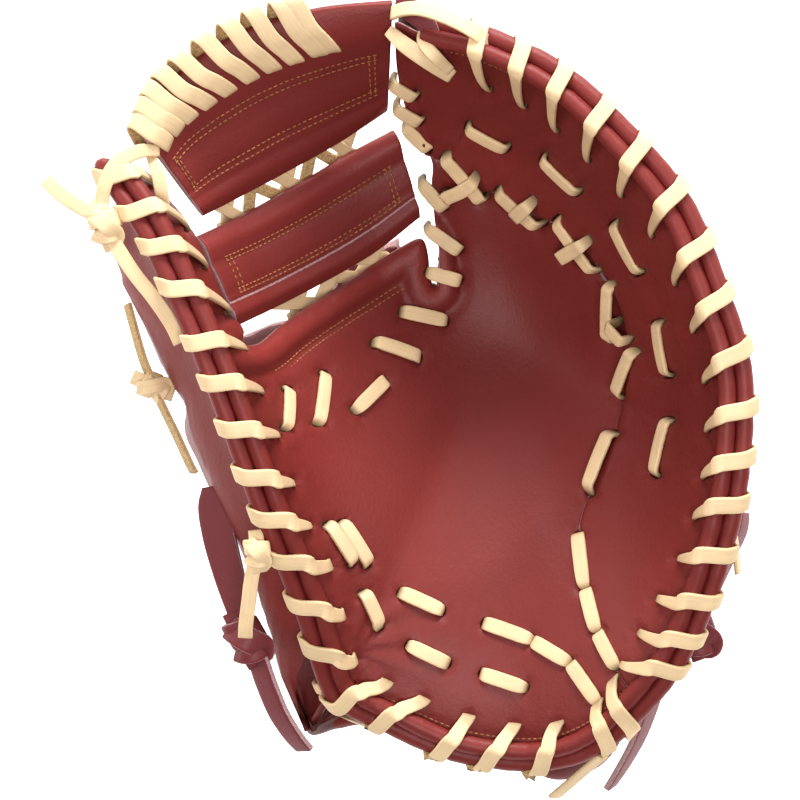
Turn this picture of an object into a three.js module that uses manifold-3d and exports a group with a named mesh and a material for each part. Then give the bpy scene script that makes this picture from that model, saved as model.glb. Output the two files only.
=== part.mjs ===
// A first baseman's mitt, lying on its back with the pocket facing up.
// Millimetres, +Z up. The origin is on the surface that it rests on, under the pocket's deepest
// point, +Y runs from the wrist to the web and +X from the thumb to the little finger.
// Two leather sheets, the palm and the back, meet at a rim with a rolled binding on each of them
// and part again at the wrist, where the hand goes in. The web's bars hang in a window between
// thumb and fingers, and one lace at a time is threaded round the rim through punched holes.
import * as THREE from "three";
import { mergeVertices } from "three/addons/utils/BufferGeometryUtils.js";
import Module from "manifold-3d";

const wasm = await Module();
wasm.setup();

// Driving sizes.
const MITT_WIDTH = 240;
const MITT_LENGTH = 290;
const RIM_HEIGHT = 116;
const POCKET_X = 38;
const POCKET_Y = 27;
const POCKET_FLOOR = 15;
const PALM_WALL = 3;
const BACK_WALL = 2.6;
const ROLL_RADIUS = 3.1;
const ROLL_GAP = 0.4;
const LACE_WIDTH = 5.6;
const LACE_THICKNESS = 1.8;
const CLEARANCE = 0.35;
const EDGE_GAP = 1.3;
const FINENESS = 0.1;
const STALL_DEPTH = 30;
const WRIST_GAP = 48;
const STALL_CLOSE = 18;
const BAR_THICKNESS = 5;
const EDGE_ROLL_THICKNESS = 7;
const HOLE_SET_BACK = 9;
const SEAM_WIDTH = 1.2;
const THONG_WIDTH = 13;
const THONG_THICKNESS = 3;
const LACE_KNOT = [12, 8];
const SMALL_LACE_KNOT = [11, 7];
const THONG_KNOT = [16, 8.5];
const UNDER_FLOOR = -10;

const ROLL_PITCH = 2 * ROLL_RADIUS + ROLL_GAP;
const LEATHER = { color: 0x7e2a27, roughness: 0.48, metalness: 0 };
const LACE = { color: 0xe8cd9b, roughness: 0.7, metalness: 0 };
const THONG = { color: 0x6c2427, roughness: 0.55, metalness: 0 };

// Stations round the rim, from the thumb's tip by the heel to the fingers' tip and back over the
// web. across, along and rise are shares of the mitt's width, length and rim height; tip is the
// angle in degrees at which the two rolls stand up from level; steep, lip and swell shape the
// palm's wall; stall is the depth of the space behind it, as a share of STALL_DEPTH, which falls
// away at fall degrees; wristX, wristY and wristZ are shares of WRIST_GAP.
const RIM_COLUMNS = [
  "across", "along", "rise", "tip", "steep", "lip", "swell", "stall", "fall",
  "wristX", "wristY", "wristZ",
];
const RIM_TABLE = [
  [-0.453, 0.312, 0.81, 78, 2.2, 0.25, 0, 0.7, 24, 0, 0, 0],
  [-0.385, 0.223, 0.88, 84, 2.2, 0.25, 0, 1.1, 24, 0, 0, 0],
  [-0.327, 0.123, 0.91, 88, 2.2, 0.25, 0, 1.35, 24, 0, 0, 0],
  [-0.273, 0.016, 0.9, 88, 2.3, 0.22, 0.05, 1.5, 26, 0, 0, 0],
  [-0.207, -0.133, 0.82, 86, 2.3, 0.15, 0.12, 1.5, 30, 0, 0, 0],
  [-0.143, -0.268, 0.67, 78, 2.1, 0.05, 0.22, 1.35, 38, 0, 0, 0],
  [-0.103, -0.377, 0.53, 66, 1.7, 0, 0.32, 1.2, 55, 0, 0, 0],
  [-0.072, -0.402, 0.505, 60, 1.6, 0, 0.34, 1.3, 68, -0.36, -0.26, -0.5],
  [-0.02, -0.424, 0.475, 52, 1.5, 0, 0.36, 1.45, 80, -0.2, -0.1, -0.93],
  [0.083, -0.462, 0.465, 46, 1.4, 0, 0.36, 1.5, 84, -0.02, -0.04, -0.96],
  [0.19, -0.476, 0.48, 46, 1.4, 0, 0.36, 1.5, 84, 0, -0.12, -0.96],
  [0.262, -0.469, 0.53, 50, 1.5, 0, 0.32, 1.4, 80, 0, -0.27, -0.86],
  [0.318, -0.446, 0.58, 58, 1.6, 0, 0.28, 1.3, 74, 0.02, -0.22, -0.5],
  [0.358, -0.414, 0.63, 66, 1.7, 0, 0.22, 1.2, 66, 0, 0, 0],
  [0.42, -0.348, 0.73, 74, 1.9, 0, 0.14, 1.1, 60, 0, 0, 0],
  [0.468, -0.259, 0.82, 80, 2.1, 0, 0.08, 1, 56, 0, 0, 0],
  [0.502, -0.158, 0.9, 84, 2.3, 0, 0.04, 0.95, 54, 0, 0, 0],
  [0.518, -0.065, 0.95, 86, 2.4, 0, 0, 0.9, 54, 0, 0, 0],
  [0.517, 0.04, 0.98, 88, 2.4, 0, 0, 0.88, 54, 0, 0, 0],
  [0.481, 0.138, 1, 88, 2.4, 0, 0, 0.85, 54, 0, 0, 0],
  [0.427, 0.248, 0.99, 86, 2.4, 0, 0, 0.82, 54, 0, 0, 0],
  [0.345, 0.333, 0.965, 84, 2.4, 0, 0, 0.8, 54, 0, 0, 0],
  [0.244, 0.413, 0.91, 80, 2.4, 0, 0, 0.75, 52, 0, 0, 0],
  [0.128, 0.463, 0.845, 76, 2.3, 0, 0, 0.65, 50, 0, 0, 0],
  [0.048, 0.483, 0.79, 74, 2.2, 0, 0, 0.5, 50, 0, 0, 0],
  [-0.008, 0.504, 0.75, 74, 2.2, 0, 0, 0.4, 50, 0, 0, 0],
  [-0.112, 0.507, 0.72, 74, 2.2, 0, 0, 0.4, 50, 0, 0, 0],
  [-0.225, 0.481, 0.72, 74, 2.2, 0.08, 0, 0.4, 45, 0, 0, 0],
  [-0.337, 0.425, 0.74, 74, 2.2, 0.16, 0, 0.4, 40, 0, 0, 0],
  [-0.417, 0.361, 0.78, 76, 2.2, 0.25, 0, 0.45, 30, 0, 0, 0],
];
const STATIONS = RIM_TABLE.length;
const THUMB_TIP = 0.25;
const THUMB_HEEL = 5.7;
const HEEL_START = 6.65;
const HEEL_END = 12.6;
const FINGER_HEEL = 13;
const FINGER_TIP = 23.9;
const ROLL_START = -0.05;
const ROLL_END = 24.15;

// The window between thumb and fingers, as shares of the mitt's width and length, from the
// thumb's tip down its inner side, along the palm's top edge and up the index finger's side.
const WINDOW = [
  [-0.425, 0.326], [-0.358, 0.235], [-0.299, 0.134], [-0.262, 0.06], [-0.238, 0.022],
  [-0.13, 0.077], [-0.067, 0.117], [-0.005, 0.156], [0.04, 0.178], [0.05, 0.17],
  [0.055, 0.16], [0.064, 0.156], [0.066, 0.2], [0.057, 0.248], [0.052, 0.29],
  [0.052, 0.32], [0.034, 0.345], [0.018, 0.372], [0.004, 0.404], [-0.006, 0.452],
  [-0.008, 0.56],
];
const WINDOW_OUTSIDE = [[-0.2, 0.68], [-0.6, 0.6], [-0.52, 0.36]];

// The seam between the pocket's leather and the fingers' leather, and the seam and the hand
// opening of the back.
const FINGER_SEAM = [
  [-0.02, 0.338], [0.036, 0.335], [0.072, 0.327], [0.14, 0.292], [0.238, 0.251],
  [0.29, 0.22], [0.327, 0.189], [0.362, 0.134], [0.379, 0.07], [0.371, 0.005],
  [0.348, -0.057], [0.31, -0.125], [0.291, -0.181], [0.301, -0.248], [0.317, -0.305],
  [0.347, -0.355], [0.39, -0.41], [0.43, -0.47],
];
const BACK_SEAM = [[0.056, 0.17], [0.07, 0.05], [0.09, -0.17]];
const STRAP_AREA = [[-0.07, -0.352], [0.27, -0.352], [0.31, -0.6], [-0.12, -0.6]];
const HAND_OPENING = [
  [-0.03, -0.34], [-0.055, -0.28], [-0.03, -0.2], [0.04, -0.155], [0.14, -0.145],
  [0.215, -0.18], [0.245, -0.25], [0.23, -0.325], [0.17, -0.36], [0.04, -0.365],
];

// The web's bars: each row is a station from the thumb to the fingers, with the upper and the
// lower edge as shares of the mitt's width, length and rim height.
const TOP_BAR = [
  [-0.41, 0.349, 0.8, -0.314, 0.242, 0.66],
  [-0.372, 0.408, 0.78, -0.275, 0.262, 0.56],
  [-0.262, 0.476, 0.75, -0.188, 0.303, 0.47],
  [-0.14, 0.51, 0.74, -0.1, 0.345, 0.42],
  [-0.015, 0.52, 0.76, -0.022, 0.388, 0.42],
];
const MIDDLE_BAR = [
  [-0.328, 0.214, 0.64, -0.262, 0.097, 0.62],
  [-0.256, 0.246, 0.5, -0.2, 0.125, 0.43],
  [-0.17, 0.288, 0.4, -0.12, 0.162, 0.3],
  [-0.088, 0.33, 0.35, -0.04, 0.202, 0.24],
  [-0.016, 0.362, 0.34, 0.028, 0.246, 0.24],
];

// The palm's folded top edge, in the same columns.
const PALM_TOP_BAR = [
  [-0.23, 0.071, 0.61, -0.205, 0.039, 0.58],
  [-0.159, 0.121, 0.36, -0.127, 0.087, 0.34],
  [-0.107, 0.151, 0.25, -0.069, 0.122, 0.24],
  [-0.035, 0.19, 0.18, -0.006, 0.16, 0.17],
  [0.031, 0.222, 0.18, 0.043, 0.186, 0.17],
];

// Stitches that the laces show on the palm, each from one hole to the other, in shares of the
// mitt's width and length.
const SEAM_STITCHES = [
  [0.078, 0.335, 0.139, 0.274], [0.163, 0.289, 0.19, 0.247], [0.2, 0.232, 0.234, 0.262],
  [0.261, 0.248, 0.326, 0.175], [0.35, 0.158, 0.349, 0.081], [0.388, 0.068, 0.362, 0.005],
];
const SEAM_LOWER_STITCHES = [[0.352, -0.045, 0.31, -0.125], [0.29, -0.18, 0.299, -0.24],
  [0.303, -0.255, 0.317, -0.3], [0.32, -0.312, 0.343, -0.346]];
const HEEL_CHAIN_STITCHES = [
  [0.136, -0.299, 0.209, -0.318], [0.22, -0.322, 0.27, -0.345], [0.279, -0.352, 0.296, -0.374],
];
const WEB_SIDE_STITCHES = [
  [0.026, 0.407, -0.012, 0.424], [0.034, 0.376, -0.006, 0.394], [0.049, 0.341, 0.01, 0.37],
  [0.074, 0.262, 0.036, 0.297], [0.099, 0.205, 0.045, 0.236], [0.099, 0.164, 0.045, 0.176],
];

const toRadians = THREE.MathUtils.degToRad;
const smooth = THREE.MathUtils.smoothstep;
const UP = new THREE.Vector3(0, 0, 1);

// Runs a smooth curve through four values in a row.
function through(a, b, c, d, f) {
  const slopeIn = (c - a) / 2;
  const slopeOut = (d - b) / 2;
  const f2 = f * f;
  const f3 = f2 * f;
  return (
    (2 * f3 - 3 * f2 + 1) * b + (f3 - 2 * f2 + f) * slopeIn +
    (3 * f2 - 2 * f3) * c + (f3 - f2) * slopeOut
  );
}

// The columns of the rim table at a place between two stations.
function stationAt(u) {
  const whole = Math.floor(u);
  const row = (k) => RIM_TABLE[(((whole + k) % STATIONS) + STATIONS) % STATIONS];
  const values = {};
  RIM_COLUMNS.forEach((name, i) => {
    values[name] = through(row(-1)[i], row(0)[i], row(1)[i], row(2)[i], u - whole);
  });
  return values;
}

function rimPoint(u) {
  const s = stationAt(u);
  return new THREE.Vector3(s.across * MITT_WIDTH, s.along * MITT_LENGTH, s.rise * RIM_HEIGHT);
}

// The rim's centre, its direction, the way out from the pocket, and the two directions of its
// pair of rolls: "rise" along which the sheets end, and "aside" from the palm's to the back's.
const rimFrames = new Map();
function rimFrame(u) {
  const key = u.toFixed(5);
  if (rimFrames.has(key)) return rimFrames.get(key);
  const s = stationAt(u);
  const centre = rimPoint(u);
  const tangent = rimPoint(u + 0.02).sub(rimPoint(u - 0.02)).normalize();
  const out = new THREE.Vector3(tangent.y, -tangent.x, 0).normalize();
  const tip = toRadians(s.tip);
  const rise = out.clone().multiplyScalar(Math.cos(tip)).addScaledVector(UP, Math.sin(tip));
  const aside = out.clone().multiplyScalar(Math.sin(tip)).addScaledVector(UP, -Math.cos(tip));
  const frame = { s, centre, tangent, out, rise, aside };
  rimFrames.set(key, frame);
  return frame;
}

const POCKET = new THREE.Vector3(POCKET_X, POCKET_Y, POCKET_FLOOR);

function palmEdge(u) {
  const { centre, rise, aside } = rimFrame(u);
  return centre.clone()
    .addScaledVector(aside, -ROLL_PITCH / 2)
    .addScaledVector(rise, -(ROLL_RADIUS + EDGE_GAP));
}

// The palm sheet's middle surface: t runs from the pocket's deepest point to the rim.
const SWELL_SCALE = 6.75;
const LIP_POWER = 12;
function palmPoint(t, u) {
  const { s } = rimFrame(u);
  const edge = palmEdge(u);
  const wall = (1 - s.lip) * t ** s.steep + s.lip * t ** LIP_POWER;
  const swell = s.swell * SWELL_SCALE * t * t * (1 - t);
  return new THREE.Vector3(
    POCKET.x + t * (edge.x - POCKET.x),
    POCKET.y + t * (edge.y - POCKET.y),
    POCKET.z + (edge.z - POCKET.z) * (wall + swell),
  );
}

function normalOf(point, t, u) {
  const dt = 0.01;
  const du = 0.02;
  const low = Math.max(t - dt, 0.02);
  const high = Math.min(Math.max(t + dt, 0.04), 1);
  const at = Math.max(t, 0.03);
  const along = point(high, u).sub(point(low, u));
  const across = point(at, u + du).sub(point(at, u - du));
  return along.cross(across).normalize();
}

const palmNormal = (t, u) => (t < 0.02 ? UP.clone() : normalOf(palmPoint, t, u));

// The place (t, u) on the palm sheet that lies over a point of the plan.
const RAYS = 720;
const rays = Array.from({ length: RAYS }, (_, i) => {
  const u = (i * STATIONS) / RAYS;
  const edge = palmEdge(u);
  const x = edge.x - POCKET.x;
  const y = edge.y - POCKET.y;
  return { u, x, y, angle: Math.atan2(y, x) };
});
function placeOver(x, y) {
  const px = x - POCKET.x;
  const py = y - POCKET.y;
  for (let i = 0; i < RAYS; i++) {
    const a = rays[i];
    const b = rays[(i + 1) % RAYS];
    const before = a.x * py - a.y * px;
    const after = b.x * py - b.y * px;
    if (before < 0 || after > 0 || a.x * px + a.y * py <= 0) continue;
    const f = before / (before - after || 1);
    const rx = a.x + f * (b.x - a.x);
    const ry = a.y + f * (b.y - a.y);
    return { t: Math.hypot(px, py) / Math.hypot(rx, ry), u: a.u + (f * STATIONS) / RAYS };
  }
  return { t: 0, u: 0 };
}

const planX = (share) => share * MITT_WIDTH;
const planY = (share) => share * MITT_LENGTH;
function palmOver(x, y, lift = 0) {
  const { t, u } = placeOver(x, y);
  return palmPoint(Math.min(t, 1), u).addScaledVector(palmNormal(t, u), lift);
}

// The window's edge, lifted on to the palm.
const windowEdge = [];
WINDOW.slice(0, -1).forEach(([a, b], i) => {
  const [c, d] = WINDOW[i + 1];
  for (let k = 0; k < 4; k++) {
    const x = planX(a + ((c - a) * k) / 4);
    const y = planY(b + ((d - b) * k) / 4);
    windowEdge.push(palmOver(x, y));
  }
});

function windowDistance(p) {
  return Math.sqrt(Math.min(...windowEdge.map((q) => q.distanceToSquared(p))));
}

// How far the back sheet stands off the palm: the hand's, thumb's and fingers' stalls, closed
// at the rim and at the window, and open at the wrist.
const STALL_START = 0.08;
const STALL_FULL = 0.62;
const RIM_CLOSE = { start: 0.02, full: 0.37 };
const round = (f) => Math.sqrt(Math.max(0, 1 - (1 - Math.min(1, Math.max(0, f))) ** 2));
const PALM_TO_BACK = 17;
function backPoint(t, u) {
  const { s, out, aside } = rimFrame(u);
  const palm = palmPoint(t, u);
  const fall = toRadians(s.fall);
  const ways = out.clone().multiplyScalar(Math.cos(fall)).addScaledVector(UP, -Math.sin(fall));
  const wide = smooth(t, STALL_START, STALL_FULL);
  const inner = ways.multiplyScalar(wide * s.stall * STALL_DEPTH)
    .addScaledVector(UP, -(1 - wide) * PALM_TO_BACK);
  const nearWindow = round(windowDistance(palm) / STALL_CLOSE);
  const sheetGap = palmNormal(t, u).multiplyScalar(-ROLL_PITCH);
  inner.lerp(sheetGap, 1 - nearWindow);
  const edge = aside.clone().multiplyScalar(ROLL_PITCH).add(
    new THREE.Vector3(s.wristX, s.wristY, s.wristZ).multiplyScalar(WRIST_GAP),
  );
  const toEdge = 1 - smooth(1 - t, RIM_CLOSE.start, RIM_CLOSE.full);
  const made = palm.add(inner.lerp(edge, toEdge));
  made.z = Math.max(made.z, BACK_WALL / 2);
  return made;
}

const backNormal = (t, u) => (t < 0.02 ? UP.clone() : normalOf(backPoint, t, u));

// Moves each corner of a geometry and joins the corners that meet, facing out.
function mould(geometry, place) {
  geometry.deleteAttribute("normal");
  geometry.deleteAttribute("uv");
  const corners = geometry.getAttribute("position");
  const p = new THREE.Vector3();
  for (let i = 0; i < corners.count; i++) {
    p.fromBufferAttribute(corners, i);
    const q = place(p);
    corners.setXYZ(i, q.x, q.y, q.z);
  }
  const made = mergeVertices(geometry, 1e-3);
  const at = made.getAttribute("position");
  const index = made.index.array;
  const [a, b, c] = [new THREE.Vector3(), new THREE.Vector3(), new THREE.Vector3()];
  const kept = [];
  let volume = 0;
  for (let i = 0; i < index.length; i += 3) {
    const [j, k, l] = [index[i], index[i + 1], index[i + 2]];
    if (j === k || k === l || j === l) continue;
    a.fromBufferAttribute(at, j);
    b.fromBufferAttribute(at, k);
    c.fromBufferAttribute(at, l);
    volume += a.dot(b.clone().cross(c));
    kept.push(j, k, l);
  }
  if (volume < 0) {
    for (let i = 0; i < kept.length; i += 3) [kept[i], kept[i + 1]] = [kept[i + 1], kept[i]];
  }
  made.setIndex(kept);
  return made;
}

// A sheet between the pocket's middle and the rim, one ring of the sphere for each t.
const SHEET_SECTORS = 44;
const SHEET_RINGS = [0, 0.25, 0.46, 0.64, 0.78, 0.9, 1];
function sheet(point, normal, wall, floor) {
  const last = SHEET_RINGS.length - 1;
  const rows = 2 * last + 1;
  return mould(new THREE.SphereGeometry(1, SHEET_SECTORS, rows), (p) => {
    const row = Math.round((Math.acos(THREE.MathUtils.clamp(p.y, -1, 1)) / Math.PI) * rows);
    const onTop = row <= last;
    const t = SHEET_RINGS[onTop ? row : rows - row];
    const turn = Math.atan2(p.z, -p.x) / (2 * Math.PI);
    const sector = Math.round(turn * SHEET_SECTORS + SHEET_SECTORS) % SHEET_SECTORS;
    const u = (sector * STATIONS) / SHEET_SECTORS;
    const made = point(t, t ? u : 0).addScaledVector(
      normal(t, t ? u : 0), onTop ? wall / 2 : -wall / 2,
    );
    made.z = Math.max(made.z, floor + (onTop ? wall : 0));
    return made;
  });
}

// A tube round a path of points.
function tube(path, radius, sides) {
  const curve = new THREE.CatmullRomCurve3(path);
  const frames = curve.computeFrenetFrames(path.length - 1, false);
  const geometry = new THREE.CylinderGeometry(1, 1, 1, sides, path.length - 1);
  return mould(geometry, (p) => {
    const i = Math.round((p.y + 0.5) * (path.length - 1));
    return path[i].clone()
      .addScaledVector(frames.normals[i], p.x * radius)
      .addScaledVector(frames.binormals[i], p.z * radius);
  });
}

// A flat band along a path, made up of one convex length between each two points; sides gives the
// direction of its width at each point.
function band(path, sides, width, thickness) {
  const last = path.length - 1;
  let before = sides[0];
  const corners = path.map((p, i) => {
    const along = path[Math.min(i + 1, last)].clone().sub(path[Math.max(i - 1, 0)]).normalize();
    const side = sides[i].clone().addScaledVector(along, -along.dot(sides[i])).normalize();
    if (side.dot(before) < 0) side.negate();
    before = side;
    const face = side.clone().cross(along);
    return [[1, 1], [1, -1], [-1, 1], [-1, -1]].map(([a, b]) =>
      p.clone().addScaledVector(side, (a * width) / 2).addScaledVector(face, (b * thickness) / 2)
        .toArray(),
    );
  });
  return wasm.Manifold.union(
    corners.slice(1).map((four, i) => wasm.Manifold.hull([...corners[i], ...four])),
  );
}

function solidOf(geometry) {
  return new wasm.Manifold(
    new wasm.Mesh({
      numProp: 3,
      vertProperties: geometry.getAttribute("position").array,
      triVerts: new Uint32Array(geometry.index.array),
    }),
  );
}

function geometryOf(solid) {
  const mesh = solid.getMesh();
  return new THREE.BufferGeometry()
    .setAttribute("position", new THREE.BufferAttribute(mesh.vertProperties, 3))
    .setIndex(new THREE.BufferAttribute(mesh.triVerts, 1));
}

// A straight-sided cutter over an outline in shares of the plan.
function cutter(outline, low, high) {
  const shape = new THREE.Shape(outline.map(([a, b]) => new THREE.Vector2(planX(a), planY(b))));
  const geometry = new THREE.ExtrudeGeometry(shape, { depth: high - low, bevelEnabled: false });
  return solidOf(mould(geometry, (p) => p.clone().setZ(p.z + low)));
}

// A cutter along a line of the plan.
function slot(line, width, low, high) {
  const points = line.map(([a, b]) => new THREE.Vector2(planX(a), planY(b)));
  const sides = [[], []];
  points.forEach((p, i) => {
    const before = points[Math.max(i - 1, 0)];
    const after = points[Math.min(i + 1, points.length - 1)];
    const way = after.clone().sub(before).normalize();
    const side = new THREE.Vector2(-way.y, way.x).multiplyScalar(width / 2);
    sides[0].push(p.clone().add(side));
    sides[1].unshift(p.clone().sub(side));
  });
  const shape = new THREE.Shape([...sides[0], ...sides[1]]);
  const geometry = new THREE.ExtrudeGeometry(shape, { depth: high - low, bevelEnabled: false });
  return solidOf(mould(geometry, (p) => p.clone().setZ(p.z + low)));
}

const between = (a, b, f) => a + (b - a) * f;
const FACE_LIFT = PALM_WALL / 2 + LACE_THICKNESS / 2 + 1.85 * CLEARANCE;
const BACK_LIFT = BACK_WALL / 2 + LACE_THICKNESS / 2 + 3.6 * CLEARANCE;
const LACE_STAND_OFF = 1.2;

// How far down the sheets, as a share, a place lies that is some millimetres from their edge.
const WALL_LENGTH = 110;
const setBack = (mm) => 1 - mm / WALL_LENGTH;
const onPalm = (t, u, lift) => palmPoint(t, u).addScaledVector(palmNormal(t, u), lift);
const onBack = (t, u, lift) => backPoint(t, u).addScaledVector(backNormal(t, u), -lift);

// A lace wound round the rim: out of a hole in the palm, over both rolls and into a hole in the
// back, which is level with the next hole in the palm.
const ROLL_STEPS = [
  { side: -1, angle: 0.93, share: 0.3 },
  { side: -1, angle: 0.62, share: 0.45 },
  { side: 1, angle: 0.38, share: 0.6 },
  { side: 1, angle: 0.07, share: 0.75 },
];
const throughBack = (u) => onBack(setBack(HOLE_SET_BACK), u, BACK_LIFT);
const behindPalm = (u) =>
  onPalm(setBack(HOLE_SET_BACK), u, -2 * ROLL_PITCH - BACK_LIFT + ROLL_RADIUS / 2);
function rimWinding(from, to, turns, behind) {
  const path = [];
  const sides = [];
  const holes = [];
  const reach = ROLL_RADIUS + CLEARANCE + LACE_THICKNESS / 2 + LACE_STAND_OFF;
  const hole = setBack(HOLE_SET_BACK);
  for (let i = 0; i < turns; i++) {
    const at = (f) => from + ((i + f) * (to - from)) / turns;
    path.push(onPalm(hole, at(0), FACE_LIFT));
    sides.push(rimFrame(at(0)).tangent);
    ROLL_STEPS.forEach(({ side, angle, share }) => {
      const { centre, tangent, rise, aside } = rimFrame(at(share));
      path.push(
        centre.clone()
          .addScaledVector(aside, (side * ROLL_PITCH) / 2 + reach * Math.cos(Math.PI * angle))
          .addScaledVector(rise, reach * Math.sin(Math.PI * angle)),
      );
      sides.push(tangent);
    });
    path.push(behind(at(1)));
    sides.push(rimFrame(at(1)).tangent);
    holes.push([behind(at(1)), onPalm(hole, at(1), FACE_LIFT), rimFrame(at(1)).tangent]);
  }
  return { path, sides, holes };
}

// A lace sewn through the palm: each stitch lies on the face from one hole to the other.
const UNDER_DEEP = 1.75 * FACE_LIFT;
const UNDER_NEAR_EDGE = 1.16 * FACE_LIFT;
function sewn(stitches, under) {
  const path = [];
  const sides = [];
  const holes = [];
  stitches.forEach(([a, b, c, d]) => {
    const [start, end] = [[a, b], [c, d]].map(([x, y]) => [
      palmOver(planX(x), planY(y), -under), palmOver(planX(x), planY(y), FACE_LIFT),
    ]);
    const middle = placeOver(planX((a + c) / 2), planY((b + d) / 2));
    const side = end[0].clone().sub(start[0]).cross(palmNormal(middle.t, middle.u)).normalize();
    path.push(start[0], start[1], end[1], end[0]);
    sides.push(side, side, side, side);
    holes.push([...start, side], [...end, side]);
  });
  return { path, sides, holes };
}

// A place on a bar: "along" from the thumb to the fingers, "across" from its upper edge.
function barPlace(rows, along, across) {
  const last = rows.length - 1;
  const edges = (f) => {
    const at = THREE.MathUtils.clamp(f, 0, 1) * last;
    const i = Math.min(Math.floor(at), last - 1);
    const row = (k) => rows[THREE.MathUtils.clamp(i + k, 0, last)];
    const value = (c) => through(row(-1)[c], row(0)[c], row(1)[c], row(2)[c], at - i);
    const point = (c) =>
      new THREE.Vector3(planX(value(c)), planY(value(c + 1)), value(c + 2) * RIM_HEIGHT);
    return [point(0), point(3)];
  };
  const [upper, lower] = edges(along);
  const [before] = edges(along - 0.02);
  const [after] = edges(along + 0.02);
  const way = after.sub(before).normalize();
  const down = lower.clone().sub(upper);
  return { centre: upper.lerp(lower, across), way, normal: way.clone().cross(down).negate().normalize() };
}
const onBar = (rows, along, across, lift) => {
  const { centre, normal } = barPlace(rows, along, across);
  return centre.addScaledVector(normal, lift);
};

// A padded bar with rounded edges.
const BAR_SIDES = 12;
const BAR_STEPS = 10;
const BAR_ROUNDNESS = 0.45;
function bar(rows, thickness) {
  const squared = (v) => Math.sign(v) * Math.abs(v) ** BAR_ROUNDNESS;
  return mould(new THREE.CylinderGeometry(1, 1, 1, BAR_SIDES, BAR_STEPS), (p) => {
    const rim = Math.hypot(p.x, p.z) > 0.5 ? 1 : 0;
    return onBar(
      rows, p.y + 0.5, 0.5 - 0.5 * rim * squared(p.x), 0.5 * thickness * rim * squared(p.z),
    );
  });
}

// A lace wound over the upper edge of a bar.
const BAR_LIFT = BAR_THICKNESS / 2 + LACE_THICKNESS / 2 + 4 * CLEARANCE;
const OVER_EDGE = [
  { step: 0.3, across: 0.08, lift: BAR_LIFT },
  { step: 0.5, across: -0.085, lift: 0 },
  { step: 0.7, across: 0.08, lift: -BAR_LIFT },
];
function barWinding(rows, from, to, turns, hole) {
  const path = [];
  const sides = [];
  const holes = [];
  for (let i = 0; i < turns; i++) {
    const at = (f) => from + ((i + f) * (to - from)) / turns;
    const steps = [
      { step: 0, across: hole, lift: BAR_LIFT }, ...OVER_EDGE,
      { step: 1, across: hole, lift: -BAR_LIFT },
    ];
    steps.forEach(({ step, across, lift }) => {
      path.push(onBar(rows, at(step), across, lift));
      sides.push(barPlace(rows, at(step), 0.5).way);
    });
    holes.push([
      onBar(rows, at(1), hole, -BAR_LIFT), onBar(rows, at(1), hole, BAR_LIFT),
      barPlace(rows, at(1), 0.5).way,
    ]);
  }
  return { path, sides, holes };
}

// A lace that goes to and fro behind two bars and comes back crossing itself.
function crossed(upper, lower, crossings, from, to, thickness) {
  const path = [];
  const ups = [];
  const lift = (thickness + LACE_THICKNESS) / 2 + 1.3 * CLEARANCE;
  const leg = (start, end, phase, depth) => {
    for (let i = 0; i <= crossings; i++) {
      const at = between(start, end, i / crossings);
      const rows = (i + phase) % 2 ? upper : lower;
      [-0.012, 0.012].forEach((d) => {
        const along = at + (start < end ? d : -d);
        path.push(onBar(rows, along, (i + phase) % 2 ? 0.93 : 0.07, -depth));
        ups.push(barPlace(rows, along, 0.5).normal);
      });
    }
  };
  leg(from, to, 0, lift);
  leg(to, from, crossings % 2 ? 0 : 1, lift + 1.35 * LACE_THICKNESS);
  const last = path.length - 1;
  const sides = path.map((p, i) =>
    path[Math.min(i + 1, last)].clone().sub(path[Math.max(i - 1, 0)]).cross(ups[i]).normalize(),
  );
  return { path, sides, holes: [] };
}

// A band that lies on the outside of the back; each row is a place on it and its distance from
// it in lace widths.
const offBack = ([t, u, lift]) => onBack(t, u, lift * LACE_WIDTH);
function draped(rows) {
  const path = rows.map(offBack);
  const last = path.length - 1;
  const sides = path.map((p, i) =>
    path[Math.min(i + 1, last)].clone().sub(path[Math.max(i - 1, 0)])
      .cross(backNormal(rows[i][0], rows[i][1])).normalize(),
  );
  return { path, sides };
}

const bySize = (a, b) => b.volume() - a.volume();
const toRight = (a, b) => b.boundingBox().max[0] - a.boundingBox().max[0];
const mainBody = (solid) => solid.decompose().sort(bySize)[0];
const carve = (solid, clearings) => clearings.reduce((left, c) => left.subtract(c), solid);

const LACE_SIZE = [LACE_WIDTH, LACE_THICKNESS];
const THONG_SIZE = [THONG_WIDTH, THONG_THICKNESS];
function strand({ path, sides }, [width, thickness]) {
  return mainBody(band(path, sides, width, thickness));
}
// The punched holes that a lace goes through.
function punches({ holes }) {
  const width = LACE_WIDTH + 4 * CLEARANCE;
  const thickness = LACE_THICKNESS + 4 * CLEARANCE;
  return holes.map(([start, end, side]) => band([start, end], [side, side], width, thickness));
}

// A knot: a flattened ball with the strands that leave it.
function knot(centre, normal, [size, thickness], strands) {
  const turn = new THREE.Quaternion().setFromUnitVectors(UP, normal);
  const ball = mould(new THREE.SphereGeometry(0.5, 8, 5), (p) =>
    new THREE.Vector3(p.x * size, p.z * size, p.y * thickness).applyQuaternion(turn).add(centre),
  );
  return strands.reduce((whole, s) => whole.add(s), solidOf(ball));
}

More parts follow.
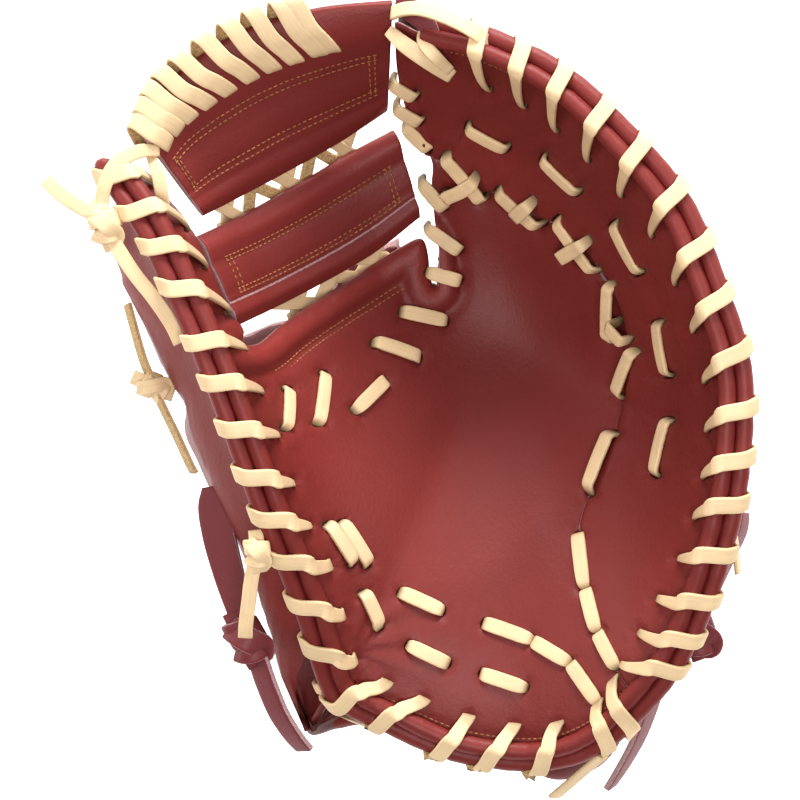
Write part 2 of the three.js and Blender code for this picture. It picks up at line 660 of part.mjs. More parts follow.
const THUMB_TURNS = 12;
const HEEL_TURNS = 5;
const FINGER_TURNS = 17;
const WEB_TURNS = 11;
const laces = {
  thumb_rim_lace: rimWinding(THUMB_HEEL, THUMB_TIP, THUMB_TURNS, throughBack),
  heel_rim_lace: rimWinding(HEEL_END, HEEL_START, HEEL_TURNS, behindPalm),
  finger_rim_lace: rimWinding(FINGER_HEEL, FINGER_TIP, FINGER_TURNS, throughBack),
  web_top_lace: barWinding(TOP_BAR, 0.88, 0.03, WEB_TURNS, 0.32),
  web_upper_lace: crossed(TOP_BAR, MIDDLE_BAR, 6, 0.12, 0.85, 1.2 * BAR_THICKNESS),
  web_lower_lace: crossed(MIDDLE_BAR, PALM_TOP_BAR, 5, 0.18, 0.85, 1.2 * EDGE_ROLL_THICKNESS),
  web_side_lace: sewn(WEB_SIDE_STITCHES, UNDER_NEAR_EDGE),
  seam_lace: sewn(SEAM_STITCHES, UNDER_DEEP),
  seam_lower_lace: sewn(SEAM_LOWER_STITCHES, UNDER_DEEP),
  heel_chain_lace: sewn(HEEL_CHAIN_STITCHES, UNDER_DEEP),
};
const clearings = Object.values(laces).flatMap(punches);

const mitt = new THREE.Group();
function add(name, solid, finish) {
  const geometry = geometryOf(solid.simplify(FINENESS).translate([-POCKET_X, -POCKET_Y, 0]));
  geometry.computeVertexNormals();
  const mesh = new THREE.Mesh(geometry, new THREE.MeshStandardMaterial(finish));
  mesh.name = name;
  mitt.add(mesh);
}

function addLaces() {
  Object.entries(laces).forEach(([name, lace]) => add(name, strand(lace, LACE_SIZE), LACE));
}

// The two rolls of the rim.
const ROLL_STATIONS = 44;
const ROLL_SIDES = 6;
const rolls = [["palm_roll", -0.5], ["back_roll", 0.5]].map(([name, place]) => {
  const path = Array.from({ length: ROLL_STATIONS + 1 }, (_, i) => {
    const { centre, aside } = rimFrame(between(ROLL_START, ROLL_END, i / ROLL_STATIONS));
    return centre.clone().addScaledVector(aside, place * ROLL_PITCH);
  });
  return { name, path };
});

function addRolls() {
  rolls.forEach(({ name, path }) =>
    add(name, solidOf(tube(path, ROLL_RADIUS, ROLL_SIDES)), LEATHER),
  );
}

function addBars() {
  const bars = [
    ["web_top_bar", TOP_BAR, BAR_THICKNESS],
    ["web_middle_bar", MIDDLE_BAR, BAR_THICKNESS],
    ["palm_top_bar", PALM_TOP_BAR, EDGE_ROLL_THICKNESS],
  ];
  bars.forEach(([name, rows, thickness]) =>
    add(name, mainBody(carve(solidOf(bar(rows, thickness)), clearings)), LEATHER),
  );
}

// The palm in two leathers, and the back in two sides and the wrist's strap.
function addSheets() {
  const above = 1.5 * RIM_HEIGHT;
  const halfway = 0.52 * RIM_HEIGHT;
  const windowCut = cutter([...WINDOW, ...WINDOW_OUTSIDE], UNDER_FLOOR, above);
  const palm = carve(solidOf(sheet(palmPoint, palmNormal, PALM_WALL, 0)), [
    windowCut, slot(FINGER_SEAM, SEAM_WIDTH, UNDER_FLOOR, above), ...clearings,
  ]);
  const [fingers, pocket] = palm.decompose().sort(bySize).slice(0, 2).sort(toRight);
  add("finger_leather", fingers, LEATHER);
  add("pocket_leather", pocket, LEATHER);

  const back = carve(solidOf(sheet(backPoint, backNormal, BACK_WALL, 0)), [
    windowCut, cutter(HAND_OPENING, UNDER_FLOOR, 0.3 * RIM_HEIGHT), ...clearings,
  ]);
  const strap = cutter(STRAP_AREA, UNDER_FLOOR, halfway);
  add("wrist_strap", mainBody(back.intersect(strap)), LEATHER);
  const edges = [...STRAP_AREA, STRAP_AREA[0]];
  const halves = carve(back.subtract(strap), [
    slot(BACK_SEAM, SEAM_WIDTH, UNDER_FLOOR, halfway),
    slot(edges, SEAM_WIDTH, UNDER_FLOOR, halfway),
  ]);
  const [right, left] = halves.decompose().sort(bySize).slice(0, 2).sort(toRight);
  add("finger_back", right, LEATHER);
  add("thumb_back", left, LEATHER);
}

// Knots with their ends: the station down the back, the station round the rim and the distance
// from the back in lace widths, of each end's places in turn.
const THUMB_TIP_ENDS = [
  [[0.97, 1.1, 1.68], [0.96, 0.75, 1.86], [0.95, 0.45, 3.04], [0.94, 0.3, 4.46]],
  [[0.97, 1.1, 1.68], [0.97, 1.5, 1.46], [0.97, 2, 1.46], [0.97, 2.4, 1.46]],
];
const THUMB_SIDE_ENDS = [
  [[0.7, 2.9, 1], [0.7, 2.5, 0.82], [0.7, 2.1, 0.96]],
  [[0.7, 2.9, 1], [0.7, 3.3, 0.82], [0.7, 3.7, 0.96]],
];
const THUMB_HEEL_ENDS = [
  [[0.97, 4.4, 1.64], [0.96, 4.8, 1.43], [0.95, 5.2, 1.32]],
];
const THUMB_THONG_ENDS = [
  [[0.8, 5.3, 0.98], [0.81, 5, 0.86], [0.82, 4.5, 1.07], [0.82, 4.05, 1.61]],
  [[0.8, 5.3, 0.98], [0.82, 5.7, 0.89], [0.86, 6.1, 1.34], [0.92, 6.5, 1.61]],
];
const FINGER_THONG_ENDS = [
  [[0.88, 14.6, 1.32], [0.88, 15, 1.07], [0.88, 15.5, 1.43], [0.88, 16, 2.32]],
];
const WRIST_THONG_ENDS = [
  [[0.88, 13.6, 1.32], [0.9, 13.1, 1.43], [0.94, 12.6, 2.32]],
];
function addKnots() {
  const knots = [
    ["thumb_tip_knot", THUMB_TIP_ENDS, LACE_SIZE, LACE_KNOT, LACE],
    ["thumb_side_knot", THUMB_SIDE_ENDS, LACE_SIZE, LACE_KNOT, LACE],
    ["thumb_heel_knot", THUMB_HEEL_ENDS, LACE_SIZE, SMALL_LACE_KNOT, LACE],
    ["thumb_thong", THUMB_THONG_ENDS, THONG_SIZE, THONG_KNOT, THONG],
    ["finger_thong", FINGER_THONG_ENDS, THONG_SIZE, THONG_KNOT, THONG],
    ["wrist_thong", WRIST_THONG_ENDS, THONG_SIZE, THONG_KNOT, THONG],
  ];
  knots.forEach(([name, ends, size, knotSize, finish]) => {
    const [t, u] = ends[0][0];
    const strands = ends.map((rows) => strand(draped(rows), size));
    add(name, knot(offBack(ends[0][0]), backNormal(t, u), knotSize, strands), finish);
  });
}

addSheets();
addRolls();
addBars();
addLaces();
addKnots();

export default mitt;
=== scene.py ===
"""A first baseman's mitt on its back: leathers, rolled rim, web bars, rawhide laces and thongs.

Plan coordinates are millimetres from the middle of the photograph, with +Y towards the web and +X
towards the little finger; metres() turns them into the row's frame.
"""

import math

import bpy
import numpy as np
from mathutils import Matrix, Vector, geometry


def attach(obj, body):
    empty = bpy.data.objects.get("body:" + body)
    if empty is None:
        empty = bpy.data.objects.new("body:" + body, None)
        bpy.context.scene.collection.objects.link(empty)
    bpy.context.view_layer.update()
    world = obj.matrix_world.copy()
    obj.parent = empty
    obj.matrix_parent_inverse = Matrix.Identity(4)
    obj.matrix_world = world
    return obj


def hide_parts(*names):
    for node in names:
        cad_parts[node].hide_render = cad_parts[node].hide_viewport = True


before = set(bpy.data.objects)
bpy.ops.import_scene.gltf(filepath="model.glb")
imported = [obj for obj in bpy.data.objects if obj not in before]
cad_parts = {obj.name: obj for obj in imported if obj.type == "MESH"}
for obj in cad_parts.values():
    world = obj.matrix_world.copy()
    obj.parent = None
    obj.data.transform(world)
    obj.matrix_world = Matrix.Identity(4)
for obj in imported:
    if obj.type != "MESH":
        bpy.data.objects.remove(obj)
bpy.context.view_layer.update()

bl_info = {
    "name": "First Baseman Mitt",
    "version": (1, 0, 0),
    "blender": (4, 5, 0),
    "location": "View3D > Sidebar > Mitt",
    "description": "Leather, rims, web, laces and thongs of a first baseman's mitt",
    "category": "Add Mesh",
}

# --- Sizes, as in the part's source ---

MITT_WIDTH, MITT_LENGTH, RIM_HEIGHT = 240.0, 290.0, 116.0
POCKET = np.array([38.0, 27.0, 15.0])
ORIGIN = np.array([38.0, 27.0, 0.0])
PALM_WALL, BACK_WALL = 3.0, 2.6
ROLL_RADIUS, ROLL_PITCH = 3.1, 6.6
EDGE_GAP = 1.3
LACE_WIDTH, LACE_THICKNESS = 5.6, 1.8
THONG_WIDTH, THONG_THICKNESS = 12.5, 2.8
STALL_DEPTH, WRIST_GAP, STALL_CLOSE, PALM_TO_BACK = 30.0, 48.0, 18.0, 17.0
WALL_LENGTH = 110.0
ROLL_START, ROLL_END = -0.05, 24.15
ROLL_FILL = 0.38
BINDING_RUN = (7.3, 13.4)
REACH = 1.014

# across, along, rise, tip, steep, lip, swell, stall, fall, wristX, wristY, wristZ
RIM_TABLE = np.array([
    [-0.453, 0.312, 0.81, 78, 2.2, 0.25, 0, 0.7, 24, 0, 0, 0],
    [-0.385, 0.223, 0.88, 84, 2.2, 0.25, 0, 1.1, 24, 0, 0, 0],
    [-0.327, 0.123, 0.91, 88, 2.2, 0.25, 0, 1.35, 24, 0, 0, 0],
    [-0.273, 0.016, 0.9, 88, 2.3, 0.22, 0.05, 1.5, 26, 0, 0, 0],
    [-0.207, -0.133, 0.82, 86, 2.3, 0.15, 0.12, 1.5, 30, 0, 0, 0],
    [-0.143, -0.268, 0.67, 78, 2.1, 0.05, 0.22, 1.35, 38, 0, 0, 0],
    [-0.103, -0.377, 0.53, 66, 1.7, 0, 0.32, 1.2, 55, 0, 0, 0],
    [-0.072, -0.402, 0.505, 60, 1.6, 0, 0.34, 1.3, 68, -0.36, -0.26, -0.5],
    [-0.02, -0.424, 0.475, 52, 1.5, 0, 0.36, 1.45, 80, -0.2, -0.1, -0.93],
    [0.083, -0.462, 0.465, 46, 1.4, 0, 0.36, 1.5, 84, -0.02, -0.04, -0.96],
    [0.19, -0.476, 0.48, 46, 1.4, 0, 0.36, 1.5, 84, 0, -0.12, -0.96],
    [0.262, -0.469, 0.53, 50, 1.5, 0, 0.32, 1.4, 80, 0, -0.27, -0.86],
    [0.318, -0.446, 0.58, 58, 1.6, 0, 0.28, 1.3, 74, 0.02, -0.22, -0.5],
    [0.358, -0.414, 0.63, 66, 1.7, 0, 0.22, 1.2, 66, 0, 0, 0],
    [0.42, -0.348, 0.73, 74, 1.9, 0, 0.14, 1.1, 60, 0, 0, 0],
    [0.468, -0.259, 0.82, 80, 2.1, 0, 0.08, 1, 56, 0, 0, 0],
    [0.502, -0.158, 0.9, 84, 2.3, 0, 0.04, 0.95, 54, 0, 0, 0],
    [0.518, -0.065, 0.95, 86, 2.4, 0, 0, 0.9, 54, 0, 0, 0],
    [0.517, 0.04, 0.98, 88, 2.4, 0, 0, 0.88, 54, 0, 0, 0],
    [0.481, 0.138, 1, 88, 2.4, 0, 0, 0.85, 54, 0, 0, 0],
    [0.427, 0.248, 0.99, 86, 2.4, 0, 0, 0.82, 54, 0, 0, 0],
    [0.345, 0.333, 0.965, 84, 2.4, 0, 0, 0.8, 54, 0, 0, 0],
    [0.244, 0.413, 0.91, 80, 2.4, 0, 0, 0.75, 52, 0, 0, 0],
    [0.128, 0.463, 0.845, 76, 2.3, 0, 0, 0.65, 50, 0, 0, 0],
    [0.048, 0.483, 0.79, 74, 2.2, 0, 0, 0.5, 50, 0, 0, 0],
    [-0.008, 0.504, 0.75, 74, 2.2, 0, 0, 0.4, 50, 0, 0, 0],
    [-0.112, 0.507, 0.72, 74, 2.2, 0, 0, 0.4, 50, 0, 0, 0],
    [-0.225, 0.481, 0.72, 74, 2.2, 0.08, 0, 0.4, 45, 0, 0, 0],
    [-0.337, 0.425, 0.74, 74, 2.2, 0.16, 0, 0.4, 40, 0, 0, 0],
    [-0.417, 0.361, 0.78, 76, 2.2, 0.25, 0, 0.45, 30, 0, 0, 0],
])
STATIONS = len(RIM_TABLE)

# Lines of the plan, as shares of the width and the length.
WINDOW_CAD = [
    (-0.425, 0.326), (-0.358, 0.235), (-0.299, 0.134), (-0.262, 0.06), (-0.238, 0.022),
    (-0.13, 0.077), (-0.067, 0.117), (-0.005, 0.156), (0.04, 0.178), (0.05, 0.17),
    (0.055, 0.16), (0.064, 0.156), (0.066, 0.2), (0.057, 0.248), (0.052, 0.29),
    (0.052, 0.32), (0.034, 0.345), (0.018, 0.372), (0.004, 0.404), (-0.006, 0.452),
    (-0.008, 0.56),
]
THUMB_SIDE = [(-0.42, 0.302), (-0.34, 0.232), (-0.281, 0.134), (-0.258, 0.085)]
PALM_TOP = [
    (-0.252, 0.07), (-0.226, 0.075), (-0.195, 0.098), (-0.159, 0.121), (-0.107, 0.151),
    (-0.07, 0.171), (-0.035, 0.19), (0.0, 0.208), (0.028, 0.22), (0.04, 0.217), (0.046, 0.2),
    (0.05, 0.17), (0.054, 0.157),
]
INDEX_SIDE = [
    (0.064, 0.156), (0.066, 0.2), (0.057, 0.248), (0.052, 0.29), (0.052, 0.32),
    (0.034, 0.345), (0.018, 0.372), (0.004, 0.404), (-0.006, 0.452), (-0.008, 0.56),
]
WINDOW_FAR = [(-0.2, 0.68), (-0.6, 0.6), (-0.52, 0.302)]
FINGER_SEAM = [
    (-0.02, 0.338), (0.036, 0.335), (0.072, 0.327), (0.14, 0.292), (0.238, 0.251),
    (0.29, 0.22), (0.327, 0.189), (0.362, 0.134), (0.379, 0.07), (0.371, 0.005),
    (0.348, -0.057), (0.31, -0.125), (0.291, -0.181), (0.301, -0.248), (0.317, -0.305),
    (0.347, -0.355), (0.39, -0.41), (0.43, -0.47),
]
FINGER_FAR = [(0.9, -0.7), (0.9, 0.8), (-0.1, 0.8)]
BACK_SEAM = [(0.056, 0.17), (0.07, 0.05), (0.09, -0.17)]
HAND_OPENING = [
    (-0.03, -0.34), (-0.055, -0.28), (-0.03, -0.2), (0.04, -0.155), (0.14, -0.145),
    (0.215, -0.18), (0.245, -0.25), (0.23, -0.325), (0.17, -0.36), (0.04, -0.365),
]
STRAP_AREA = [(-0.07, -0.352), (0.27, -0.352), (0.31, -0.6), (-0.12, -0.6)]

TOP_BAR = np.array([
    [-0.41, 0.349, 0.8, -0.314, 0.242, 0.66],
    [-0.372, 0.408, 0.78, -0.275, 0.262, 0.56],
    [-0.262, 0.476, 0.75, -0.188, 0.303, 0.47],
    [-0.14, 0.51, 0.74, -0.1, 0.345, 0.42],
    [-0.015, 0.52, 0.76, -0.022, 0.388, 0.42],
])
MIDDLE_BAR = np.array([
    [-0.328, 0.214, 0.64, -0.262, 0.097, 0.62],
    [-0.256, 0.246, 0.5, -0.2, 0.125, 0.43],
    [-0.17, 0.288, 0.4, -0.12, 0.162, 0.3],
    [-0.088, 0.33, 0.35, -0.04, 0.202, 0.24],
    [-0.016, 0.362, 0.34, 0.028, 0.246, 0.24],
])
PALM_TOP_BAR = np.array([
    [-0.23, 0.071, 0.61, -0.205, 0.039, 0.58],
    [-0.159, 0.121, 0.36, -0.127, 0.087, 0.34],
    [-0.107, 0.151, 0.25, -0.069, 0.122, 0.24],
    [-0.035, 0.19, 0.18, -0.006, 0.16, 0.17],
    [0.031, 0.222, 0.18, 0.043, 0.186, 0.17],
])
BAR_THICKNESS = 5.0
# Each bar's shares across of its stitched rows and of its flap's edge, and how far along it ends.
TOP_BAR_LAYOUT = ((0.43, 0.74), 0.8, 1.015)
MIDDLE_BAR_LAYOUT = ((0.33, 0.68), 0.76, 1.05)

# Laces over the rim: the station and the share down the wall of the hole in the palm, and the
# station of the hole in the back.
THUMB_WINDINGS = [
    (5.9, 0.95, 5.3), (5.32, 0.945, 4.83), (4.82, 0.93, 4.38), (4.39, 0.94, 4.0),
    (3.97, 0.94, 3.65), (3.54, 0.93, 3.27), (3.13, 0.93, 2.83), (2.64, 0.93, 2.36),
    (2.1, 0.93, 1.6), (1.5, 0.94, 1.08), (0.98, 0.94, 0.6), (0.5, 0.94, 0.1),
]
HEEL_WINDINGS = [
    (11.06, 0.96, 10.16), (9.95, 0.955, 9.33), (9.19, 0.95, 8.75), (8.45, 0.95, 7.69),
    (7.68, 0.95, 6.1),
]
CORNER_WINDINGS = [(12.58, 0.965, 11.85), (13.2, 0.95, 12.75)]
FINGER_WINDINGS = [
    (13.43, 0.935, 14.15), (14.0, 0.92, 14.6), (14.61, 0.923, 15.12), (15.28, 0.939, 15.7),
    (15.88, 0.95, 16.38), (16.49, 0.95, 17.0), (17.17, 0.945, 17.6), (17.81, 0.932, 18.3),
    (18.56, 0.93, 19.0), (19.21, 0.925, 19.6), (19.85, 0.909, 20.22), (20.55, 0.899, 20.88),
    (21.19, 0.898, 21.45), (21.75, 0.897, 22.05), (22.29, 0.903, 22.57), (22.81, 0.906, 23.18),
]

# Stitches of lace that lie on the palm, from one hole to the other.
SEAM_STITCHES = [
    (0.078, 0.335, 0.139, 0.274), (0.163, 0.289, 0.234, 0.239), (0.261, 0.248, 0.326, 0.175),
    (0.35, 0.158, 0.349, 0.081), (0.388, 0.068, 0.362, 0.005), (0.352, -0.045, 0.31, -0.125),
]
SEAM_CROSSINGS = [
    (0.08, 0.281, 0.127, 0.308), (0.196, 0.257, 0.223, 0.273), (0.273, 0.2, 0.312, 0.218),
    (0.355, 0.106, 0.379, 0.083),
]
CHAIN_STITCHES = [
    (0.29, -0.18, 0.299, -0.25), (0.301, -0.253, 0.317, -0.306), (0.319, -0.309, 0.347, -0.352),
    (0.136, -0.299, 0.213, -0.32), (0.216, -0.322, 0.272, -0.348), (0.275, -0.35, 0.318, -0.399),
]
WEB_SIDE_STITCHES = [
    (0.026, 0.407, -0.012, 0.424), (0.034, 0.376, -0.006, 0.394), (0.049, 0.341, 0.01, 0.37),
    (0.074, 0.262, 0.036, 0.297), (0.099, 0.205, 0.045, 0.236), (0.099, 0.164, 0.045, 0.176),
]
FINGER_TIES = [
    (0.11, 0.366, 0.174, 0.338), (0.231, 0.323, 0.288, 0.277), (0.344, 0.235, 0.386, 0.169),
    (0.415, 0.104, 0.431, 0.033), (0.432, -0.026, 0.411, -0.099),
]
PALM_TIES = [
    (-0.183, 0.014, -0.185, -0.038), (-0.135, -0.032, -0.125, 0.035),
    (-0.026, 0.026, -0.076, -0.015), (0.031, 0.057, -0.044, 0.077), (0.002, 0.12, 0.076, 0.108),
]
THUMB_TIES = [
    (-0.118, -0.165, -0.077, -0.217), (-0.053, -0.219, -0.096, -0.163),
    (-0.061, -0.256, -0.034, -0.304),
]
HEEL_TIES = [
    (0.0, -0.258, 0.068, -0.283), (0.077, -0.352, 0.013, -0.327), (0.132, -0.365, 0.203, -0.383),
]


def metres(points):
    return (np.asarray(points, float) - ORIGIN) * 0.001


def plan(shares):
    return np.asarray(shares, float)[..., :2] * [MITT_WIDTH, MITT_LENGTH]


def smooth(x, low, high):
    f = np.clip((np.asarray(x, float) - low) / (high - low), 0, 1)
    return f * f * (3 - 2 * f)


def unit(v):
    return v / np.maximum(np.linalg.norm(v, axis=-1, keepdims=True), 1e-12)


def through(a, b, c, d, f):
    """A smooth curve through four rows, between the middle two."""
    f2, f3 = f * f, f * f * f
    return (
        (2 * f3 - 3 * f2 + 1) * b + (f3 - 2 * f2 + f) * (c - a) / 2
        + (3 * f2 - 2 * f3) * c + (f3 - f2) * (d - b) / 2
    )


def curved(rows, count):
    """A smooth curve through the rows, spaced evenly by their first three columns."""
    rows = np.asarray(rows, float)
    p = np.vstack([2 * rows[0] - rows[1], rows, 2 * rows[-1] - rows[-2]])
    at = np.linspace(0, len(p) - 3 - 1e-9, max(8 * len(p), count * 2))
    k = at.astype(int)
    return even(through(p[k], p[k + 1], p[k + 2], p[k + 3], (at - k)[:, None]), count)


def run_along(points):
    """How far along a line each of its points is."""
    return np.concatenate([[0], np.cumsum(np.linalg.norm(np.diff(points, axis=0), axis=1))])


def even(rows, count):
    """The same line with count rows, spaced evenly by their first three columns."""
    p = np.asarray(rows, float)
    along = run_along(p[:, :3])
    at = np.linspace(0, along[-1], count)
    return np.stack([np.interp(at, along, p[:, i]) for i in range(p.shape[1])], 1)


def length_of(points):
    return float(np.linalg.norm(np.diff(points, axis=0), axis=1).sum())


def spaced(points, step):
    return even(points, max(2, int(length_of(np.asarray(points)) / step) + 1))


# --- The surfaces of the palm and of the back ---


def station(u):
    u = np.asarray(u, float)
    k = np.floor(u).astype(int)
    rows = [RIM_TABLE[(k + i) % STATIONS] for i in (-1, 0, 1, 2)]
    return through(*rows, (u - k)[..., None])


def rim_point(u):
    return station(u)[..., :3] * [MITT_WIDTH, MITT_LENGTH, RIM_HEIGHT]


def rim(u):
    """The columns, centre, direction, way out, way up and way aside of the rim."""
    u = np.asarray(u, float)
    values = station(u)
    tangent = unit(rim_point(u + 0.02) - rim_point(u - 0.02))
    out = unit(np.stack([tangent[..., 1], -tangent[..., 0], 0 * tangent[..., 0]], -1))
    tip = np.radians(values[..., 3:4])
    up = np.array([0, 0, 1.0])
    rise = out * np.cos(tip) + up * np.sin(tip)
    aside = out * np.sin(tip) - up * np.cos(tip)
    return values, rim_point(u), tangent, out, rise, aside


def palm_edge(u):
    _, centre, _, _, rise, aside = rim(u)
    return centre - aside * ROLL_PITCH / 2 - rise * (ROLL_RADIUS + EDGE_GAP)


def palm(t, u):
    t = np.asarray(t, float)
    values = station(u)
    edge = palm_edge(u)
    steep, lip, swell = values[..., 4], values[..., 5], values[..., 6]
    wall = (1 - lip) * t**steep + lip * t**12 + swell * 6.75 * t * t * (1 - t)
    share = np.stack([t, t, wall], -1)
    return POCKET + (edge - POCKET) * share


def slope_of(surface, t, u):
    t, u = np.broadcast_arrays(np.asarray(t, float), np.asarray(u, float))
    low, high = np.maximum(t - 0.01, 0.02), np.maximum(np.minimum(t + 0.01, REACH), 0.04)
    at = np.maximum(t, 0.03)
    along = surface(high, u) - surface(low, u)
    return unit(np.cross(along, surface(at, u + 0.02) - surface(at, u - 0.02)))


def palm_normal(t, u):
    return slope_of(palm, t, u)


ROUND = np.linspace(0, STATIONS, 1441)
EDGE_ROUND = palm_edge(ROUND)[:, :2] - POCKET[:2]
ANGLE_ROUND = np.unwrap(np.arctan2(EDGE_ROUND[:, 1], EDGE_ROUND[:, 0]))


def place_over(xy):
    """The share t and the station u of the palm over points of the plan."""
    d = np.asarray(xy, float) - POCKET[:2]
    angle = np.arctan2(d[..., 1], d[..., 0])
    angle = ANGLE_ROUND[0] + (angle - ANGLE_ROUND[0]) % (2 * np.pi)
    u = np.interp(angle, ANGLE_ROUND, ROUND)
    edge = palm_edge(u)[..., :2] - POCKET[:2]
    return np.linalg.norm(d, axis=-1) / np.linalg.norm(edge, axis=-1), u


def palm_over(xy, lift):
    t, u = place_over(xy)
    return palm(t, u) + palm_normal(t, u) * lift


def window_edge():
    rows = []
    line = plan(WINDOW_CAD)
    for a, b in zip(line[:-1], line[1:]):
        rows += [a + (b - a) * k / 4 for k in range(4)]
    t, u = place_over(np.array(rows))
    return palm(np.minimum(t, 1), u)


WINDOW_EDGE = window_edge()

# How far the thumb's back bulges past the rim, by station, in millimetres.
THUMB_SWELL = np.array([
    [0, 10], [0.5, 22], [1, 25], [1.5, 23.5], [2, 22], [2.5, 21], [3, 22], [3.5, 20], [4, 19.5],
    [4.5, 19.5], [5, 21.5], [5.5, 24], [6, 26.5], [6.5, 25], [7, 17], [7.5, 9], [8, 3], [8.5, 0],
])


def back(t, u):
    t = np.asarray(t, float)
    u = np.asarray(u, float)
    values, _, _, out, _, aside = rim(u)
    made = palm(t, u)
    up = np.array([0, 0, 1.0])
    fall = np.radians(values[..., 8:9])
    wide = smooth(t, 0.08, 0.62)[..., None]
    ways = out * np.cos(fall) - up * np.sin(fall)
    inner = ways * wide * values[..., 7:8] * STALL_DEPTH - up * (1 - wide) * PALM_TO_BACK
    apart = np.full(made.shape[:-1], 1e9)
    for corner in WINDOW_EDGE:
        apart = np.minimum(apart, ((made - corner) ** 2).sum(-1))
    near = np.clip(np.sqrt(apart) / STALL_CLOSE, 0, 1)
    near = np.sqrt(np.maximum(0, 1 - (1 - near) ** 2))[..., None]
    inner = inner * near - palm_normal(t, u) * ROLL_PITCH * (1 - near)
    edge = aside * ROLL_PITCH + values[..., 9:12] * WRIST_GAP
    closing = (1 - smooth(1 - t, 0.02, 0.37))[..., None]
    made = made + inner * (1 - closing) + edge * closing
    swell = np.interp(u % STATIONS, THUMB_SWELL[:, 0], THUMB_SWELL[:, 1])
    made = made + out * (swell * smooth(t, 0.3, 0.82) * (1 - smooth(t, 0.88, 1.0)))[..., None]
    made[..., 2] = np.maximum(made[..., 2], BACK_WALL / 2)
    return made


def back_normal(t, u):
    return slope_of(back, t, u)


def under_back(xy):
    """The palm's plan points whose places on the back lie at these points of the plan."""
    grids = np.meshgrid(np.linspace(0.02, 1, 90), np.linspace(0, STATIONS, 361)[:-1])
    t, u = (grid.ravel() for grid in grids)
    spots = back(t, u)
    low = spots[:, 2] < 45
    made = []
    for point in np.asarray(xy, float):
        nearest = np.where(low, ((spots[:, :2] - point) ** 2).sum(1), 1e9).argmin()
        place = np.array([t[nearest], u[nearest]])
        for _ in range(5):
            here = back(*place)[:2]
            slope = np.stack([
                (back(place[0] + 0.004, place[1])[:2] - here) / 0.004,
                (back(place[0], place[1] + 0.02)[:2] - here) / 0.02,
            ], 1)
            step = np.linalg.lstsq(slope, point - here, rcond=0.05)[0]
            place = place + np.clip(step, (-0.01, -0.05), (0.01, 0.05))
            place[0] = np.clip(place[0], 0.02, 1.0)
        made.append(palm(*place)[:2])
    return np.array(made)


# --- Materials ---


class Value:
    """A number in a material's nodes; arithmetic on it adds Math nodes."""

    def __init__(self, socket):
        self.socket = socket

    def _math(self, operation, first, second):
        tree = self.socket.id_data
        node = tree.nodes.new("ShaderNodeMath")
        node.operation = operation
        for plug, value in zip(node.inputs, (first, second)):
            if isinstance(value, Value):
                tree.links.new(value.socket, plug)
            else:
                plug.default_value = value
        return Value(node.outputs[0])

    def __add__(self, other):
        return self._math("ADD", self, other)

    def __radd__(self, other):
        return self._math("ADD", other, self)

    def __sub__(self, other):
        return self._math("SUBTRACT", self, other)

    def __rsub__(self, other):
        return self._math("SUBTRACT", other, self)

    def __mul__(self, other):
        return self._math("MULTIPLY", self, other)

    def __rmul__(self, other):
        return self._math("MULTIPLY", other, self)

    def at_most(self, other):
        return self._math("MINIMUM", self, other)


class Finish:
    """A material, made of nodes by type, settings and socket values."""

    def __init__(self, name):
        self.material = bpy.data.materials.new(name)
        self.material.use_nodes = True
        self.tree = self.material.node_tree
        self.shader = self.tree.nodes["Principled BSDF"]

    def node(self, kind, settings=(), sockets=()):
        node = self.tree.nodes.new(kind)
        for key, value in dict(settings).items():
            setattr(node, key, value)
        for key, value in dict(sockets).items():
            self.plug(node.inputs[key], value)
        return node

    def plug(self, plug, value):
        if isinstance(value, Value):
            self.tree.links.new(value.socket, plug)
        elif isinstance(value, bpy.types.NodeSocket):
            self.tree.links.new(value, plug)
        else:
            plug.default_value = value

    def place(self, scale=(1, 1, 1)):
        coordinates = self.node("ShaderNodeTexCoord").outputs["Object"]
        return self.node(
            "ShaderNodeMapping", {}, {"Vector": coordinates, "Scale": scale}
        ).outputs[0]

    def attribute(self, name):
        return Value(self.node("ShaderNodeAttribute", {"attribute_name": name}).outputs["Fac"])

    def noise(self, place, scale, detail=3.0, roughness=0.55, distortion=0.0):
        node = self.node("ShaderNodeTexNoise", {}, {
            "Vector": place, "Scale": scale, "Detail": detail, "Roughness": roughness,
            "Distortion": distortion,
        })
        return Value(node.outputs["Fac"])

    def cells(self, place, scale, feature="F1", randomness=1.0):
        node = self.node("ShaderNodeTexVoronoi", {"feature": feature}, {
            "Vector": place, "Scale": scale, "Randomness": randomness,
        })
        return Value(node.outputs["Distance"])

    def mixed(self, mask, first, second):
        colours = {0: mask, 6: first, 7: second}
        return self.node("ShaderNodeMix", {"data_type": "RGBA"}, colours).outputs[2]

    def sharpened(self, value, low, high):
        node = self.node("ShaderNodeMapRange", {"interpolation_type": "SMOOTHSTEP"}, {
            "Value": value, "From Min": low, "From Max": high,
        })
        return Value(node.outputs[0])

    def finished(self, colour, roughness, height, depth, gloss=0.5):
        """The material, with bumps of the height's relief as deep as depth, in metres."""
        self.shader.inputs["Specular IOR Level"].default_value = gloss
        self.plug(self.shader.inputs["Base Color"], colour)
        self.plug(self.shader.inputs["Roughness"], roughness)
        relief = {"Height": height, "Strength": 1.0, "Distance": depth}
        bump = self.node("ShaderNodeBump", {}, relief)
        self.plug(self.shader.inputs["Normal"], bump.outputs[0])
        return self.material


def tint(colour, factor):
    return (*[min(1.0, c * factor) for c in colour[:3]], 1.0)


